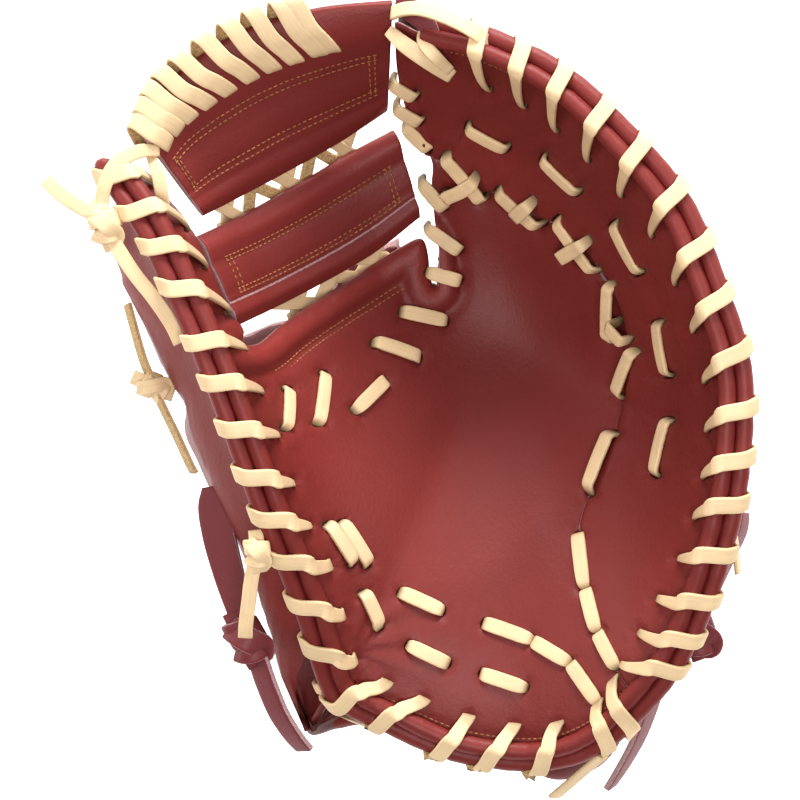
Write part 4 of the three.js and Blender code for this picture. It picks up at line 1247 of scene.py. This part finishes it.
def bar_face(across, stitch_rows, flap):
    """How far a bar's face stands out: a roll, a stitched panel, a flap's edge and a roll."""

    def hill(middle, wide):
        return np.exp(-(((across - middle) / wide) ** 2))

    first, second = stitch_rows
    upper = 1.5 * hill(first * 0.42, first * 0.36)
    panel = 0.5 * hill((first + second) / 2, (second - first) * 0.35)
    dips = -0.55 * hill(first, 0.022) - 0.55 * hill(second, 0.022)
    lower = np.where(across > flap, 1.5 * hill((1 + flap) / 2, 0.09) - 0.6, 0.35)
    return upper + panel + dips + lower


def bar_wave(centre):
    return 0.35 * ripple(centre, 0.09, 31) + 0.16 * ripple(centre, 0.3, 32)


def bar_object(name, rows, layout, node):
    """A padded bar: a flat section along it, with its relief on the face."""
    stitch_rows, flap, reach = layout
    count, sides = 190, 96
    along = np.linspace(0.0, reach, count)
    angle = (np.arange(sides) + 0.5) * 2 * np.pi / sides
    across = 0.5 - 0.5 * np.sign(np.cos(angle)) * np.abs(np.cos(angle)) ** 0.62
    height = np.sign(np.sin(angle)) * np.abs(np.sin(angle)) ** 0.5
    end = np.sqrt(np.clip(np.minimum(along, reach - along) / 0.012, 0.12, 1))
    rings = np.zeros((count, sides, 3))
    face = bar_face(across, stitch_rows, flap)
    for k in range(sides):
        centre, _, normal = bar_place(rows, along, np.full(count, across[k]))
        lift = height[k] * BAR_THICKNESS / 2 * end
        if height[k] > 0:
            relief = face[k] * min(1, abs(height[k]) * 1.15) + bar_wave(centre)
            lift = lift + relief * end * np.clip(height[k] * 1.4, 0, 1)
        rings[:, k] = centre + normal * lift[:, None]
    top = height > 0
    raw = np.zeros((count, sides)) + np.where(top & (np.abs(across - flap) < 0.0085), 0.75, 0)
    raw[:2] = raw[-2:] = 1
    wear = 0.5 * np.exp(-(((across - stitch_rows[0] * 0.42) / 0.1) ** 2)) * top
    sheaf = Sheaf()
    lofted(rings, sheaf, along * 0.2, across * 0.05, raw=raw, wear=wear[None], shade=0.0)
    made = sheaf.object(name, "leather")
    return part_of(made, "web_leather", node)


def make_bars():
    bar_object("web_top_bar_leather", TOP_BAR, TOP_BAR_LAYOUT, "web_top_bar")
    bar_object("web_middle_bar_leather", MIDDLE_BAR, MIDDLE_BAR_LAYOUT, "web_middle_bar")


# --- Laces ---

REACH_OUT = ROLL_RADIUS + LACE_THICKNESS / 2 + 0.3
LOWEST_LACE = 4.5


def winding_rows(hole_u, hole_t, outer_u, slant, back_t, point):
    """One lace over the rim, from its hole in the palm to its hole in the back: place, side, width,
    thickness and painted shade, which darkens the lace where it dives into a hole. slant is the
    share of its way along the rim made on the wall."""
    rows = []

    def add(point, side, width, thickness, shade=0.0):
        rows.append(np.concatenate([point, side, [width * LACE_WIDTH, thickness, shade]]))

    def on_wall(share, t, lift, width, thickness, shade=0.0):
        u = hole_u + (outer_u - hole_u) * share
        add(palm(t, u) + palm_normal(t, u) * lift, rim(u)[2], width, thickness, shade)

    def on_roll(share, side, angle, width):
        u = hole_u + (outer_u - hole_u) * share
        _, centre, tangent, _, rise, aside = rim(u)
        turn = math.pi * angle
        reach = aside * math.cos(turn) + rise * math.sin(turn)
        middle = centre + aside * side * ROLL_PITCH / 2
        add(middle + reach * REACH_OUT, tangent, width, LACE_THICKNESS)

    on_wall(0, hole_t - 0.004, -3.5, point, 1.4, 1)
    on_wall(0, hole_t, 0.9 + point * 1.2, point, 1.5, 0.6)
    on_wall(slant * 0.4, hole_t + (1 - hole_t) * 0.42, 3.1 + point * 0.6, 0.42 + point * 0.55, 1.7)
    on_roll(slant * 0.85, -1, 1.0, 0.78 + point * 0.28)
    on_roll(slant, -1, 0.8, 1.08)
    over = ((0.22, -1, 0.62), (0.5, 1, 0.5), (0.72, 1, 0.25), (0.88, 1, 0.02))
    for share, side, angle in over:
        on_roll(slant + (1 - slant) * share, side, angle, 1.14)
    normal = back_normal(0.98, outer_u)
    add(back(0.985, outer_u) - normal * 2.6, rim(outer_u)[2], 1.05, LACE_THICKNESS)
    spot, normal = back(back_t, outer_u), back_normal(back_t, outer_u)
    add(spot - normal * 1.9, rim(outer_u)[2], 0.8, 1.9)
    # painted shade: the lace darkens where it goes into its hole in the back
    add(spot + normal * 1.6, rim(outer_u)[2], 0.6, 1.9, 0.8)
    add(spot + normal * 4, rim(outer_u)[2], 0.5, 1.9, 1)
    rows = np.array(rows)
    rows[:, 2] = np.maximum(rows[:, 2], LOWEST_LACE)
    return rows


def tie_rows(stitch, bulge=1.0, width=1.0, lift=0.0):
    """A lace that comes up through one hole, lies on the palm and goes down through the next."""
    a, b = plan([stitch[:2], stitch[2:]])
    shares = np.array([0.0, 0.005, 0.07, 0.22, 0.5, 0.78, 0.93, 0.995, 1.0])
    lifts = np.array([-4.0, -0.2, 2.1, 2.5, 2.65, 2.5, 2.1, -0.2, -4.0])
    widths = np.array([0.82, 0.84, 0.98, 1.04, 1.04, 1.02, 0.9, 0.66, 0.6]) * width
    spots = a + (b - a) * shares[:, None]
    t, u = place_over(spots)
    normal = palm_normal(t, u)
    up = np.where(lifts > 0, lifts * bulge + lift, lifts)
    path = palm(t, u) + normal * up[:, None]
    way = unit(np.gradient(path[[1, 4, 7]], axis=0))[1]
    side = unit(np.cross(normal, way[None]))
    side = np.broadcast_to(side[4], side.shape)
    # painted shade: the lace darkens where it dives into its holes at both ends
    shade = np.array([1, 0.8, 0, 0, 0, 0, 0, 0.8, 1.0])
    thickness = np.full((9, 1), LACE_THICKNESS * 1.05)
    return np.hstack([path, side, (widths * LACE_WIDTH)[:, None], thickness, shade[:, None]])


def laces_object(name, groups, *nodes):
    sheaf = Sheaf()
    for rows in groups:
        ribbon(sheaf, rows[:, :3], rows[:, 3:6], rows[:, 6], rows[:, 7], shade=rows[:, 8])
    return part_of(sheaf.object(name, "lace"), "lace_rawhide", *nodes)


WRAPS = (0.115, 0.21, 0.285, 0.36, 0.43, 0.51, 0.59, 0.67, 0.755, 0.8)


def bar_wrap(rows, along, hole, slant):
    """A lace over the upper edge of a bar, from its hole in the face to behind."""
    made = []
    # columns: step along, across, lift, width and painted shade, which is dark where the lace goes
    # into its hole
    for step, across, lift, width, shade in (
        (0.0, hole + 0.005, -1.5, 0.8, 1.0), (0.03, hole - 0.015, 3.4, 1.12, 0.15),
        (0.2, hole * 0.6, 5.0, 1.2, 0), (0.4, 0.07, 4.9, 1.2, 0), (0.55, -0.1, 1.6, 1.2, 0),
        (0.62, -0.085, -1.6, 1.2, 0), (0.74, 0.08, -4.2, 1.1, 0), (0.9, hole * 0.7, -4.4, 1.0, 0),
        (1.0, hole, -2.0, 0.8, 0.8),
    ):
        centre, way, normal = bar_place(rows, along + slant * step, across)
        size = [LACE_WIDTH * width, LACE_THICKNESS, shade]
        made.append(np.concatenate([centre[0] + normal[0] * lift, -way[0], size]))
    return np.array(made)


def web_gap(upper, lower, crossings, start, stop, depth, phase, width):
    """A lace to and fro between two bars, behind both, with a little painted shade for lying behind
    them.
    """
    path, normal = [], []
    for i in range(crossings + 1):
        along = start + (stop - start) * i / crossings
        rows, across = (upper, 0.93) if (i + phase) % 2 == 0 else (lower, 0.05)
        for shift in (-0.014, 0.014):
            centre, _, out = bar_place(rows, along + shift, across)
            path.append(centre[0] - out[0] * depth)
            normal.append(out[0])
    path = np.array(path)
    side = unit(np.cross(normal, unit(np.gradient(path, axis=0))))
    for i in range(1, len(side)):
        if side[i] @ side[i - 1] < 0:
            side[i] *= -1
    # painted shade: the lace behind the bars is painted a little darker
    extra = np.tile([LACE_WIDTH * width, LACE_THICKNESS, 0.12], (len(path), 1))
    return np.hstack([path, side, extra])


def make_laces():
    thumb = [winding_rows(*w, 0.34, 0.962, 0.85 if w[0] > 4.6 else 0.34) for w in THUMB_WINDINGS]
    heel = [winding_rows(*w, 0.45, 0.95, 0.95) for w in HEEL_WINDINGS]
    corner = [winding_rows(*w, 0.45, 0.95, 0.9) for w in CORNER_WINDINGS]
    fingers = [winding_rows(*w, 0.55, 0.945, 0.5 if w[0] < 15 else 0.3) for w in FINGER_WINDINGS]
    seam = [tie_rows(s, 1.0, 1.0, 2.2) for s in SEAM_STITCHES]
    seam += [tie_rows(s, 1.0, 1.0, 4.2) for s in SEAM_CROSSINGS]
    chain = [tie_rows(s, 0.95) for s in CHAIN_STITCHES]
    braid = [
        web_gap(TOP_BAR, MIDDLE_BAR, 5, 0.16, 0.8, 4.4, 0, 0.85),
        web_gap(TOP_BAR, MIDDLE_BAR, 5, 0.2, 0.86, 6.6, 1, 0.85),
    ]
    crossing = [
        web_gap(MIDDLE_BAR, PALM_TOP_BAR, 3, 0.22, 0.8, 5.4, 0, 0.95),
        web_gap(MIDDLE_BAR, PALM_TOP_BAR, 3, 0.26, 0.86, 7.6, 1, 0.95),
    ]
    wraps = [bar_wrap(TOP_BAR, along, 0.31, -0.17) for along in WRAPS]
    laces_object("thumb_rim_laces", thumb, "thumb_rim_lace")
    laces_object("heel_rim_laces", heel, "heel_rim_lace")
    laces_object("finger_rim_laces", fingers, "finger_rim_lace")
    laces_object("web_top_wraps", wraps, "web_top_lace")
    laces_object("web_upper_braid", braid, "web_upper_lace")
    laces_object("web_lower_crossing", crossing, "web_lower_lace")
    laces_object("web_side_ties", [tie_rows(s) for s in WEB_SIDE_STITCHES], "web_side_lace")
    laces_object("seam_ties", seam, "seam_lace")
    laces_object("seam_chain", chain[:3] + corner, "seam_lower_lace")
    laces_object("heel_chain", chain[3:], "heel_chain_lace")
    for name, stitches in (
        ("finger_ties", FINGER_TIES), ("palm_ties", PALM_TIES), ("thumb_ties", THUMB_TIES),
        ("heel_ties", HEEL_TIES),
    ):
        laces_object(name, [tie_rows(s) for s in stitches])


# --- Knots, tails and thongs ---


def drawn(sheaf, points, facing, width, thickness, step=1.0):
    """A ribbon through plan points in millimetres whose smooth face looks along facing."""
    path = np.asarray(points, float)
    way = unit(np.gradient(path, axis=0))
    side = unit(np.cross(way, np.broadcast_to(np.asarray(facing, float), path.shape))) * -1
    return ribbon(sheaf, path, side, width, thickness, step)


def knot(name, centre, turn, size, width, thickness, finish, *nodes):
    """An overhand knot: a strand through the middle, a turn around it and one across, with its
    long way turned in the plan by turn degrees."""
    c, s = math.cos(math.radians(turn)), math.sin(math.radians(turn))
    sheaf = Sheaf()

    def placed(rows):
        x, y, z = np.array(rows, float).T * size
        return np.stack([x * c - y * s, x * s + y * c, z], -1) + centre

    def strand(rows, wide, facing=(0, 0, 1)):
        drawn(sheaf, placed(rows), facing, width * wide, thickness, 0.7)

    strand([
        (-1.5, 0.1, -0.2), (-0.7, 0.05, 0.05), (0, 0, 0.1), (0.7, -0.1, 0.05), (1.5, -0.1, -0.25),
    ], 0.95)
    ring = placed([
        (0.175 * math.cos(a) - 0.25, 0.78 * math.cos(a), 0.52 * math.sin(a) + 0.05)
        for a in np.linspace(-0.4, 6.2, 15)
    ])
    along = np.broadcast_to(np.array([c, s, 0.0]), ring.shape)
    ribbon(sheaf, ring, along, width * 0.98, thickness, 0.7)
    strand([
        (-0.85, -0.5, 0.1), (-0.45, -0.3, 0.62), (0.15, 0.05, 0.82), (0.7, 0.4, 0.45),
        (1.0, 0.3, 0.0), (0.7, -0.2, -0.2),
    ], 0.9)
    over = [(0.35, -0.75, -0.1), (0.6, -0.45, 0.4), (0.75, 0.05, 0.5), (0.7, 0.5, 0.1)]
    strand(over, 0.85, (0.2, 0, 1))
    return part_of(sheaf.object(name, finish), SLOTS[finish], *nodes)


SLOTS = {"lace": "lace_rawhide", "thong": "thong_leather"}

# Loose ends, as the photograph shows them: plan x, y and height in millimetres.
TIP_TAIL_OUT = [(-112.0, 69.5, 99), (-118.5, 71.5, 100), (-127, 77, 100), (-133, 82.7, 98)]
TIP_TAIL_DOWN = [
    (-111, 66, 100), (-106.5, 58, 101), (-100, 48, 101.5), (-92.5, 38.5, 101), (-86, 29, 100),
    (-82.4, 21.5, 98.5),
]
SIDE_TAIL_UP = [(-95, 7, 63), (-98.5, 14.5, 63), (-102, 26, 62), (-105, 37, 61)]
SIDE_TAIL_DOWN = [(-94, 3, 63), (-90.8, -4, 62), (-86, -14, 61), (-81.5, -24, 60), (-79.5, -28, 59)]
LOW_TAIL = [
    (-54.3, -60, 92), (-56, -67, 90.5), (-57.2, -76, 88.5), (-58.4, -85, 85.5),
    (-58.7, -90, 83),
]
RIGHT_TAIL = [(124, -43, 84), (126.4, -50, 83), (127.6, -57, 81), (128.8, -65.5, 78)]
HEEL_TAIL = [(79, -137.5, 54), (74, -142, 50), (69, -147, 45), (64, -152, 40), (60.5, -155.5, 36)]
THONG_TOP = [
    (-73, -33.5, 61), (-72, -41, 62), (-69.5, -53, 63.5), (-66, -66, 65), (-62.5, -78, 66.5),
    (-60, -86, 67),
]
THONG_TAIL = [
    (-57, -92, 67), (-54, -101, 66.5), (-51, -110, 65), (-46.5, -121, 62.5), (-41, -130, 58.5),
    (-37, -135, 55),
]
RIGHT_THONG = [
    (131.5, -43, 70), (130.5, -50, 70), (127, -58, 69), (122.5, -68, 67.5), (117.5, -79, 66),
    (115, -86, 65.5),
]
RIGHT_THONG_END = [(113.5, -90, 64), (110, -94, 61), (106.5, -96.5, 57)]
LOW_THONG = [
    (101, -104, 60), (99, -112, 57.5), (96, -122, 53.5), (92, -133, 48.5), (86.5, -144, 42.5),
    (82.5, -151, 38),
]
TIP_LACE_OVER = [
    (-3, 146, 91), (2, 147, 96), (9, 146.5, 99), (19.5, 142.4, 102.5), (29, 137, 103),
    (33.5, 132.5, 98),
]
TIP_LACE_LOW = [(-4.2, 139.6, 88), (1.9, 133.8, 93), (11.3, 127.5, 92), (19.5, 122.6, 86)]
TIP_LACE_LOOP = [(9, 140, 91), (8.6, 135, 94), (13, 129.5, 95), (19, 124.5, 89)]
TAB = [(-1.5, 149.5, 90), (5, 146.5, 93), (10, 141.5, 94), (14, 134.9, 92)]
THUMB_TIP_LACE = [
    (-91, 94, 92), (-98, 93.5, 96), (-106, 89, 99), (-110.5, 81, 100.5), (-112, 73, 99),
    (-112.5, 69, 98),
]
THUMB_TIP_CROSS = [(-94, 92, 91), (-91.5, 86, 94), (-90, 79, 94), (-89, 73, 92)]


def tail(name, points, facing, width, thickness, finish, widths=1.0):
    """A loose end of lace or thong."""
    sheaf = Sheaf()
    centre = drawn(sheaf, points, facing, np.asarray(widths, float) * width, thickness)
    made = part_of(sheaf.object(name, finish), SLOTS[finish])


def make_tails():
    for name, points, facing in (
        ("tip_tail_outer", TIP_TAIL_OUT, (0, 0, 1)), ("tip_tail_lower", TIP_TAIL_DOWN, (0, 0, 1)),
        ("side_tail_upper", SIDE_TAIL_UP, (0.9, 0.2, -0.5)),
        ("side_tail_lower", SIDE_TAIL_DOWN, (0.9, 0.3, -0.5)), ("low_tail", LOW_TAIL, (0, 0, 1)),
        ("right_tail", RIGHT_TAIL, (1, 0.1, 0.4)), ("heel_tail", HEEL_TAIL, (0.5, -0.6, 0.7)),
    ):
        tail(name, points, facing, LACE_WIDTH, LACE_THICKNESS, "lace")
    for name, points, facing, widths in (
        ("thumb_thong_upper", THONG_TOP, (-0.35, 0, 1), (0.55, 0.98, 1.06, 1.0, 0.85, 0.7)),
        ("thumb_thong_lower", THONG_TAIL, (-0.75, 0.2, 0.75), (0.7, 0.8, 0.82, 0.8, 0.75, 0.7)),
        ("finger_thong_upper", RIGHT_THONG, (0.92, 0.1, 0.38), (0.8, 0.95, 1, 1, 0.95, 0.8)),
        ("finger_thong_lower", RIGHT_THONG_END, (0.6, -0.5, 0.6), (0.8, 0.85, 0.8)),
        ("wrist_thong_lower", LOW_THONG, (0.86, -0.2, 0.46), (0.8, 0.9, 1, 1, 0.9, 0.7)),
    ):
        tail(name, points, facing, THONG_WIDTH, THONG_THICKNESS, "thong", widths)


def make_tip_laces():
    """The laces and the tab between the web's top bar and the fingers' tip."""
    sheaf = Sheaf()
    for points, facing, width, thickness in (
        (TIP_LACE_OVER, (0, 0.3, 1), 5.8, 1.8),
        (TIP_LACE_LOW, (0.1, -0.3, 1), (4.6, 6.2, 6.6, 5.6), 1.9),
        (TIP_LACE_LOOP, (0.2, -0.2, 1), (3.6, 4.6, 5.0, 3.8), 1.8),
        (THUMB_TIP_LACE, (0, 0, 1), (4.4, 5.4, 5.8, 5.6, 5.0, 4.0), 1.8),
        (THUMB_TIP_CROSS, (0, 0, 1), (3.8, 4.8, 5.2, 4.6), 1.8),
    ):
        drawn(sheaf, points, facing, width, thickness)
    part_of(sheaf.object("tip_laces", "lace"), "lace_rawhide")
    sheaf = Sheaf()
    drawn(sheaf, TAB, (-0.3, -0.2, 1), (8.0, 8.6, 7.6, 5.0), 2.2)
    part_of(sheaf.object("tip_tab", "thong"), "palm_leather")


def make_knots():
    make_tip_laces()
    lace, thong = (2.0, "lace"), (THONG_THICKNESS, "thong")
    knot("tip_knot", (-110.5, 66, 99.5), -70, 6.6, 6.8, 2.1, "lace", "thumb_tip_knot")
    knot("side_knot", (-95.2, 5.5, 62), -20, 5.6, 6.2, *lace, "thumb_side_knot")
    knot("low_knot", (-53.6, -57, 93), -80, 5.2, 6.0, *lace, "thumb_heel_knot")
    knot("thumb_thong_knot", (-58.5, -91, 67.5), -60, 7.4, 11.0, *thong, "thumb_thong")
    right = ("finger_thong", "wrist_thong")
    knot("finger_thong_knot", (114.3, -88.5, 65), -70, 7.2, 11.0, *thong, *right)


# --- Thread, by Geometry Nodes along its rows ---


def stitch_tree():
    t = Tree("thread_row", [
        ("Pitch", "NodeSocketFloat", 0.003), ("Length", "NodeSocketFloat", 0.002),
        ("Thickness", "NodeSocketFloat", 0.0007), ("Seed", "NodeSocketInt", 7),
        ("Material", "NodeSocketMaterial", None),
    ])
    curve = t.node("GeometryNodeMeshToCurve", {}, {"Mesh": t.start.outputs[0]})
    row = t.node("GeometryNodeResampleCurve", {"mode": "LENGTH"}, {
        "Curve": curve.outputs[0], "Length": t.start.outputs["Pitch"],
    })
    ball = t.node("GeometryNodeMeshUVSphere", {}, {"Segments": 6, "Rings": 5, "Radius": 0.5})
    tangent = t.node("GeometryNodeInputTangent")
    turn = t.node("FunctionNodeAlignRotationToVector", {"axis": "Z"}, {
        "Vector": tangent.outputs[0],
    })
    spread = t.node("FunctionNodeRandomValue", {"data_type": "FLOAT"})
    floats = [s for s in spread.inputs if s.name in ("Min", "Max") and s.type == "VALUE"]
    floats[0].default_value, floats[1].default_value = 0.88, 1.1
    t.tree.links.new(t.start.outputs["Seed"], spread.inputs["Seed"])
    share = [s for s in spread.outputs if s.enabled and s.type == "VALUE"][0]
    varied = t.node("ShaderNodeMath", {"operation": "MULTIPLY"}, {
        0: t.start.outputs["Length"], 1: share,
    })
    thick = t.start.outputs["Thickness"]
    size = t.node("ShaderNodeCombineXYZ", {}, {"X": thick, "Y": thick, "Z": varied.outputs[0]})
    put = t.node("GeometryNodeInstanceOnPoints", {}, {
        "Points": row.outputs[0], "Instance": ball.outputs[0], "Rotation": turn.outputs[0],
        "Scale": size.outputs[0],
    })
    return t.finish(put.outputs[0])


def bar_line(rows, layout, start, stop, across, count):
    """A row of thread on a bar's face, along it or from one stitched row to the other."""
    along, across = np.linspace(start, stop, count), np.linspace(*across, count)
    centre, _, normal = bar_place(rows, along, across)
    height = BAR_THICKNESS / 2 + bar_face(across, *layout[:2])
    return centre + normal * (height + bar_wave(centre) + 0.1)[:, None]


def palm_line(t, start, stop, count):
    u, t = np.linspace(start, stop, count), np.full(count, t)
    return palm(t, u) + palm_normal(t, u) * 1.15


def make_thread():
    lines, apart = [], 0.022
    for rows, layout, first, last in (
        (TOP_BAR, TOP_BAR_LAYOUT, 0.09, 0.93), (MIDDLE_BAR, MIDDLE_BAR_LAYOUT, 0.1, 0.92),
    ):
        upper, lower = layout[0]
        for row in (upper - apart, upper + apart, lower - apart, lower + apart):
            lines.append(bar_line(rows, layout, first, last, (row, row), 80))
        for along in (first, first + apart, last - apart, last):
            lines.append(bar_line(rows, layout, along, along, (upper, lower), 30))
    lines += [palm_over(parallel(TOP_LINE[5:-22], -away), 0.75) for away in (12.2, 14.4)]
    lines += [palm_line(0.988, 6.4, 12.9, 260), palm_line(0.99, 13.2, 23.6, 420)]
    source = line_object("thread_lines", lines)
    pitch = bpy.context.scene.mitt_looks.stitch_pitch * 0.001
    made = grown("thread", source, stitch_tree(), {
        "Pitch": pitch, "Length": pitch * 0.78, "Thickness": 0.00068, "Seed": 7,
        "Material": material("thread"),
    })
    part_of(made, "palm_leather")


# --- Stage ---


def soft_light(name, place, size, power):
    """A rectangular light that looks at the mitt."""
    data = bpy.data.lights.new(name, "AREA")
    data.shape = "RECTANGLE"
    data.size, data.size_y = size
    data.energy = power
    light = bpy.data.objects.new(name, data)
    light.location = place
    way = Vector((0, 0, 0.05)) - Vector(place)
    light.rotation_euler = way.to_track_quat("-Z", "Y").to_euler()
    bpy.context.scene.collection.objects.link(light)


def make_stage():
    scene = bpy.context.scene
    looks = scene.mitt_looks
    data = bpy.data.cameras.new("camera")
    data.sensor_width = 36
    data.lens = looks.lens
    data.clip_start, data.clip_end = 0.05, 20
    camera = bpy.data.objects.new("camera", data)
    camera.location = metres((0, 0, looks.camera_height))
    scene.collection.objects.link(camera)
    scene.camera = camera
    scene.view_settings.view_transform = "Standard"
    scene.view_settings.look = "Medium High Contrast"
    mesh = bpy.data.meshes.new("floor")
    mesh.from_pydata([(-4, -4, 0), (4, -4, 0), (4, 4, 0), (-4, 4, 0)], [], [(0, 1, 2, 3)])
    mesh.materials.append(floor_finish())
    floor = bpy.data.objects.new("floor", mesh)
    scene.collection.objects.link(floor)
    world = bpy.data.worlds.new("studio")
    world.use_nodes = True
    sky = world.node_tree.nodes["Background"].inputs
    sky[0].default_value, sky[1].default_value = (1, 1, 1, 1), looks.fill
    scene.world = world
    for name, place, size, share in (
        ("key", (0.05, 1.5, 0.7), (0.9, 0.6), 1.0), ("above", (0.0, -0.3, 1.6), (0.8, 0.7), 0.42),
        ("left", (-1.2, 0.3, 0.7), (0.6, 0.5), 0.14), ("right", (1.2, 0.5, 0.9), (0.6, 0.5), 0.16),
    ):
        soft_light(name, place, size, looks.key * share)


# --- The add-on ---


def dye(name, description, colour):
    return bpy.props.FloatVectorProperty(
        name=name, description=description, subtype="COLOR", size=4, min=0, max=1,
        default=(*colour, 1))


def amount(name, description, default, low, high, unit="NONE"):
    return bpy.props.FloatProperty(
        name=name, description=description, default=default, min=low, max=high, unit=unit)


class MittLooks(bpy.types.PropertyGroup):
    leather: dye("Leather", "Dye of the palm, the back and the web", (0.166, 0.0255, 0.022))
    thong: dye("Thongs", "Dye of the wide leather thongs", (0.16, 0.032, 0.036))
    raw_edge: dye("Cut edge", "Fibres where the leather is cut", (0.42, 0.27, 0.27))
    lace: dye("Rawhide", "Face of the laces", (0.67, 0.495, 0.3))
    flesh_side: dye("Flesh side", "Rough underside of the laces", (0.5, 0.34, 0.17))
    thread: dye("Thread", "Waxed thread of the stitched rows", (0.36, 0.15, 0.06))
    grain: amount("Grain", "Depth of the leather's grain", 1.0, 0, 3)
    stitch_pitch: amount("Stitch pitch", "From one thread stitch to the next, in mm", 2.3, 1, 8)
    camera_height: amount("Camera height", "Above the floor, in millimetres", 1500.0, 300, 5000)
    lens: amount("Lens", "Focal length in millimetres", 168.0, 20, 300)
    key: amount("Key light", "Power of the largest light", 41.0, 0, 500, "POWER")
    fill: amount("Surroundings", "Brightness of the white surroundings", 0.22, 0, 4)


class MittOperator:
    """What each piece's operator shares: it builds its piece."""

    bl_options = {"REGISTER", "UNDO"}

    def execute(self, context):
        self.build()
        return {"FINISHED"}


class MITT_OT_stage(MittOperator, bpy.types.Operator):
    """The camera, the pale floor and the soft lights"""

    bl_idname = "mitt.stage"
    bl_label = "Studio"
    build = staticmethod(make_stage)


class MITT_OT_tails(MittOperator, bpy.types.Operator):
    """The loose ends of the laces and the thongs"""

    bl_idname = "mitt.tails"
    bl_label = "Loose ends"
    build = staticmethod(make_tails)


class MITT_OT_palm(MittOperator, bpy.types.Operator):
    """The pocket's leather and the fingers' leather"""

    bl_idname = "mitt.palm"
    bl_label = "Palm leathers"
    build = staticmethod(make_palm)


class MITT_OT_back(MittOperator, bpy.types.Operator):
    """The two sides of the back and the wrist's strap"""

    bl_idname = "mitt.back"
    bl_label = "Back leathers"
    build = staticmethod(make_back)


class MITT_OT_rolls(MittOperator, bpy.types.Operator):
    """The two rolls of the rim and the binding at the wrist"""

    bl_idname = "mitt.rolls"
    bl_label = "Rolled rims"
    build = staticmethod(make_rolls)


class MITT_OT_bars(MittOperator, bpy.types.Operator):
    """The padded bars of the web"""

    bl_idname = "mitt.bars"
    bl_label = "Web bars"
    build = staticmethod(make_bars)


class MITT_OT_laces(MittOperator, bpy.types.Operator):
    """The rawhide laces round the rim, in the web and on the palm"""

    bl_idname = "mitt.laces"
    bl_label = "Laces"
    build = staticmethod(make_laces)


class MITT_OT_knots(MittOperator, bpy.types.Operator):
    """The knots of the laces and the thongs"""

    bl_idname = "mitt.knots"
    bl_label = "Knots"
    build = staticmethod(make_knots)


class MITT_OT_thread(MittOperator, bpy.types.Operator):
    """The rows of thread stitches"""

    bl_idname = "mitt.thread"
    bl_label = "Thread"
    build = staticmethod(make_thread)


OPERATORS = (
    MITT_OT_stage, MITT_OT_tails, MITT_OT_palm, MITT_OT_back, MITT_OT_rolls, MITT_OT_bars,
    MITT_OT_laces, MITT_OT_knots, MITT_OT_thread,
)


class MITT_PT_panel(bpy.types.Panel):
    bl_label = "Mitt"
    bl_idname = "MITT_PT_panel"
    bl_space_type = "VIEW_3D"
    bl_region_type = "UI"
    bl_category = "Mitt"

    def draw(self, context):
        for key in MittLooks.__annotations__:
            self.layout.prop(context.scene.mitt_looks, key)
        for operator in OPERATORS:
            self.layout.operator(operator.bl_idname)


CLASSES = (MittLooks, *OPERATORS, MITT_PT_panel)


def register():
    for item in CLASSES:
        bpy.utils.register_class(item)
    bpy.types.Scene.mitt_looks = bpy.props.PointerProperty(type=MittLooks)


def unregister():
    del bpy.types.Scene.mitt_looks
    for item in reversed(CLASSES):
        bpy.utils.unregister_class(item)


def main():
    register()
    for operator in OPERATORS:
        getattr(bpy.ops.mitt, operator.bl_idname.split(".")[1])()


if __name__ == "__main__":
    main()
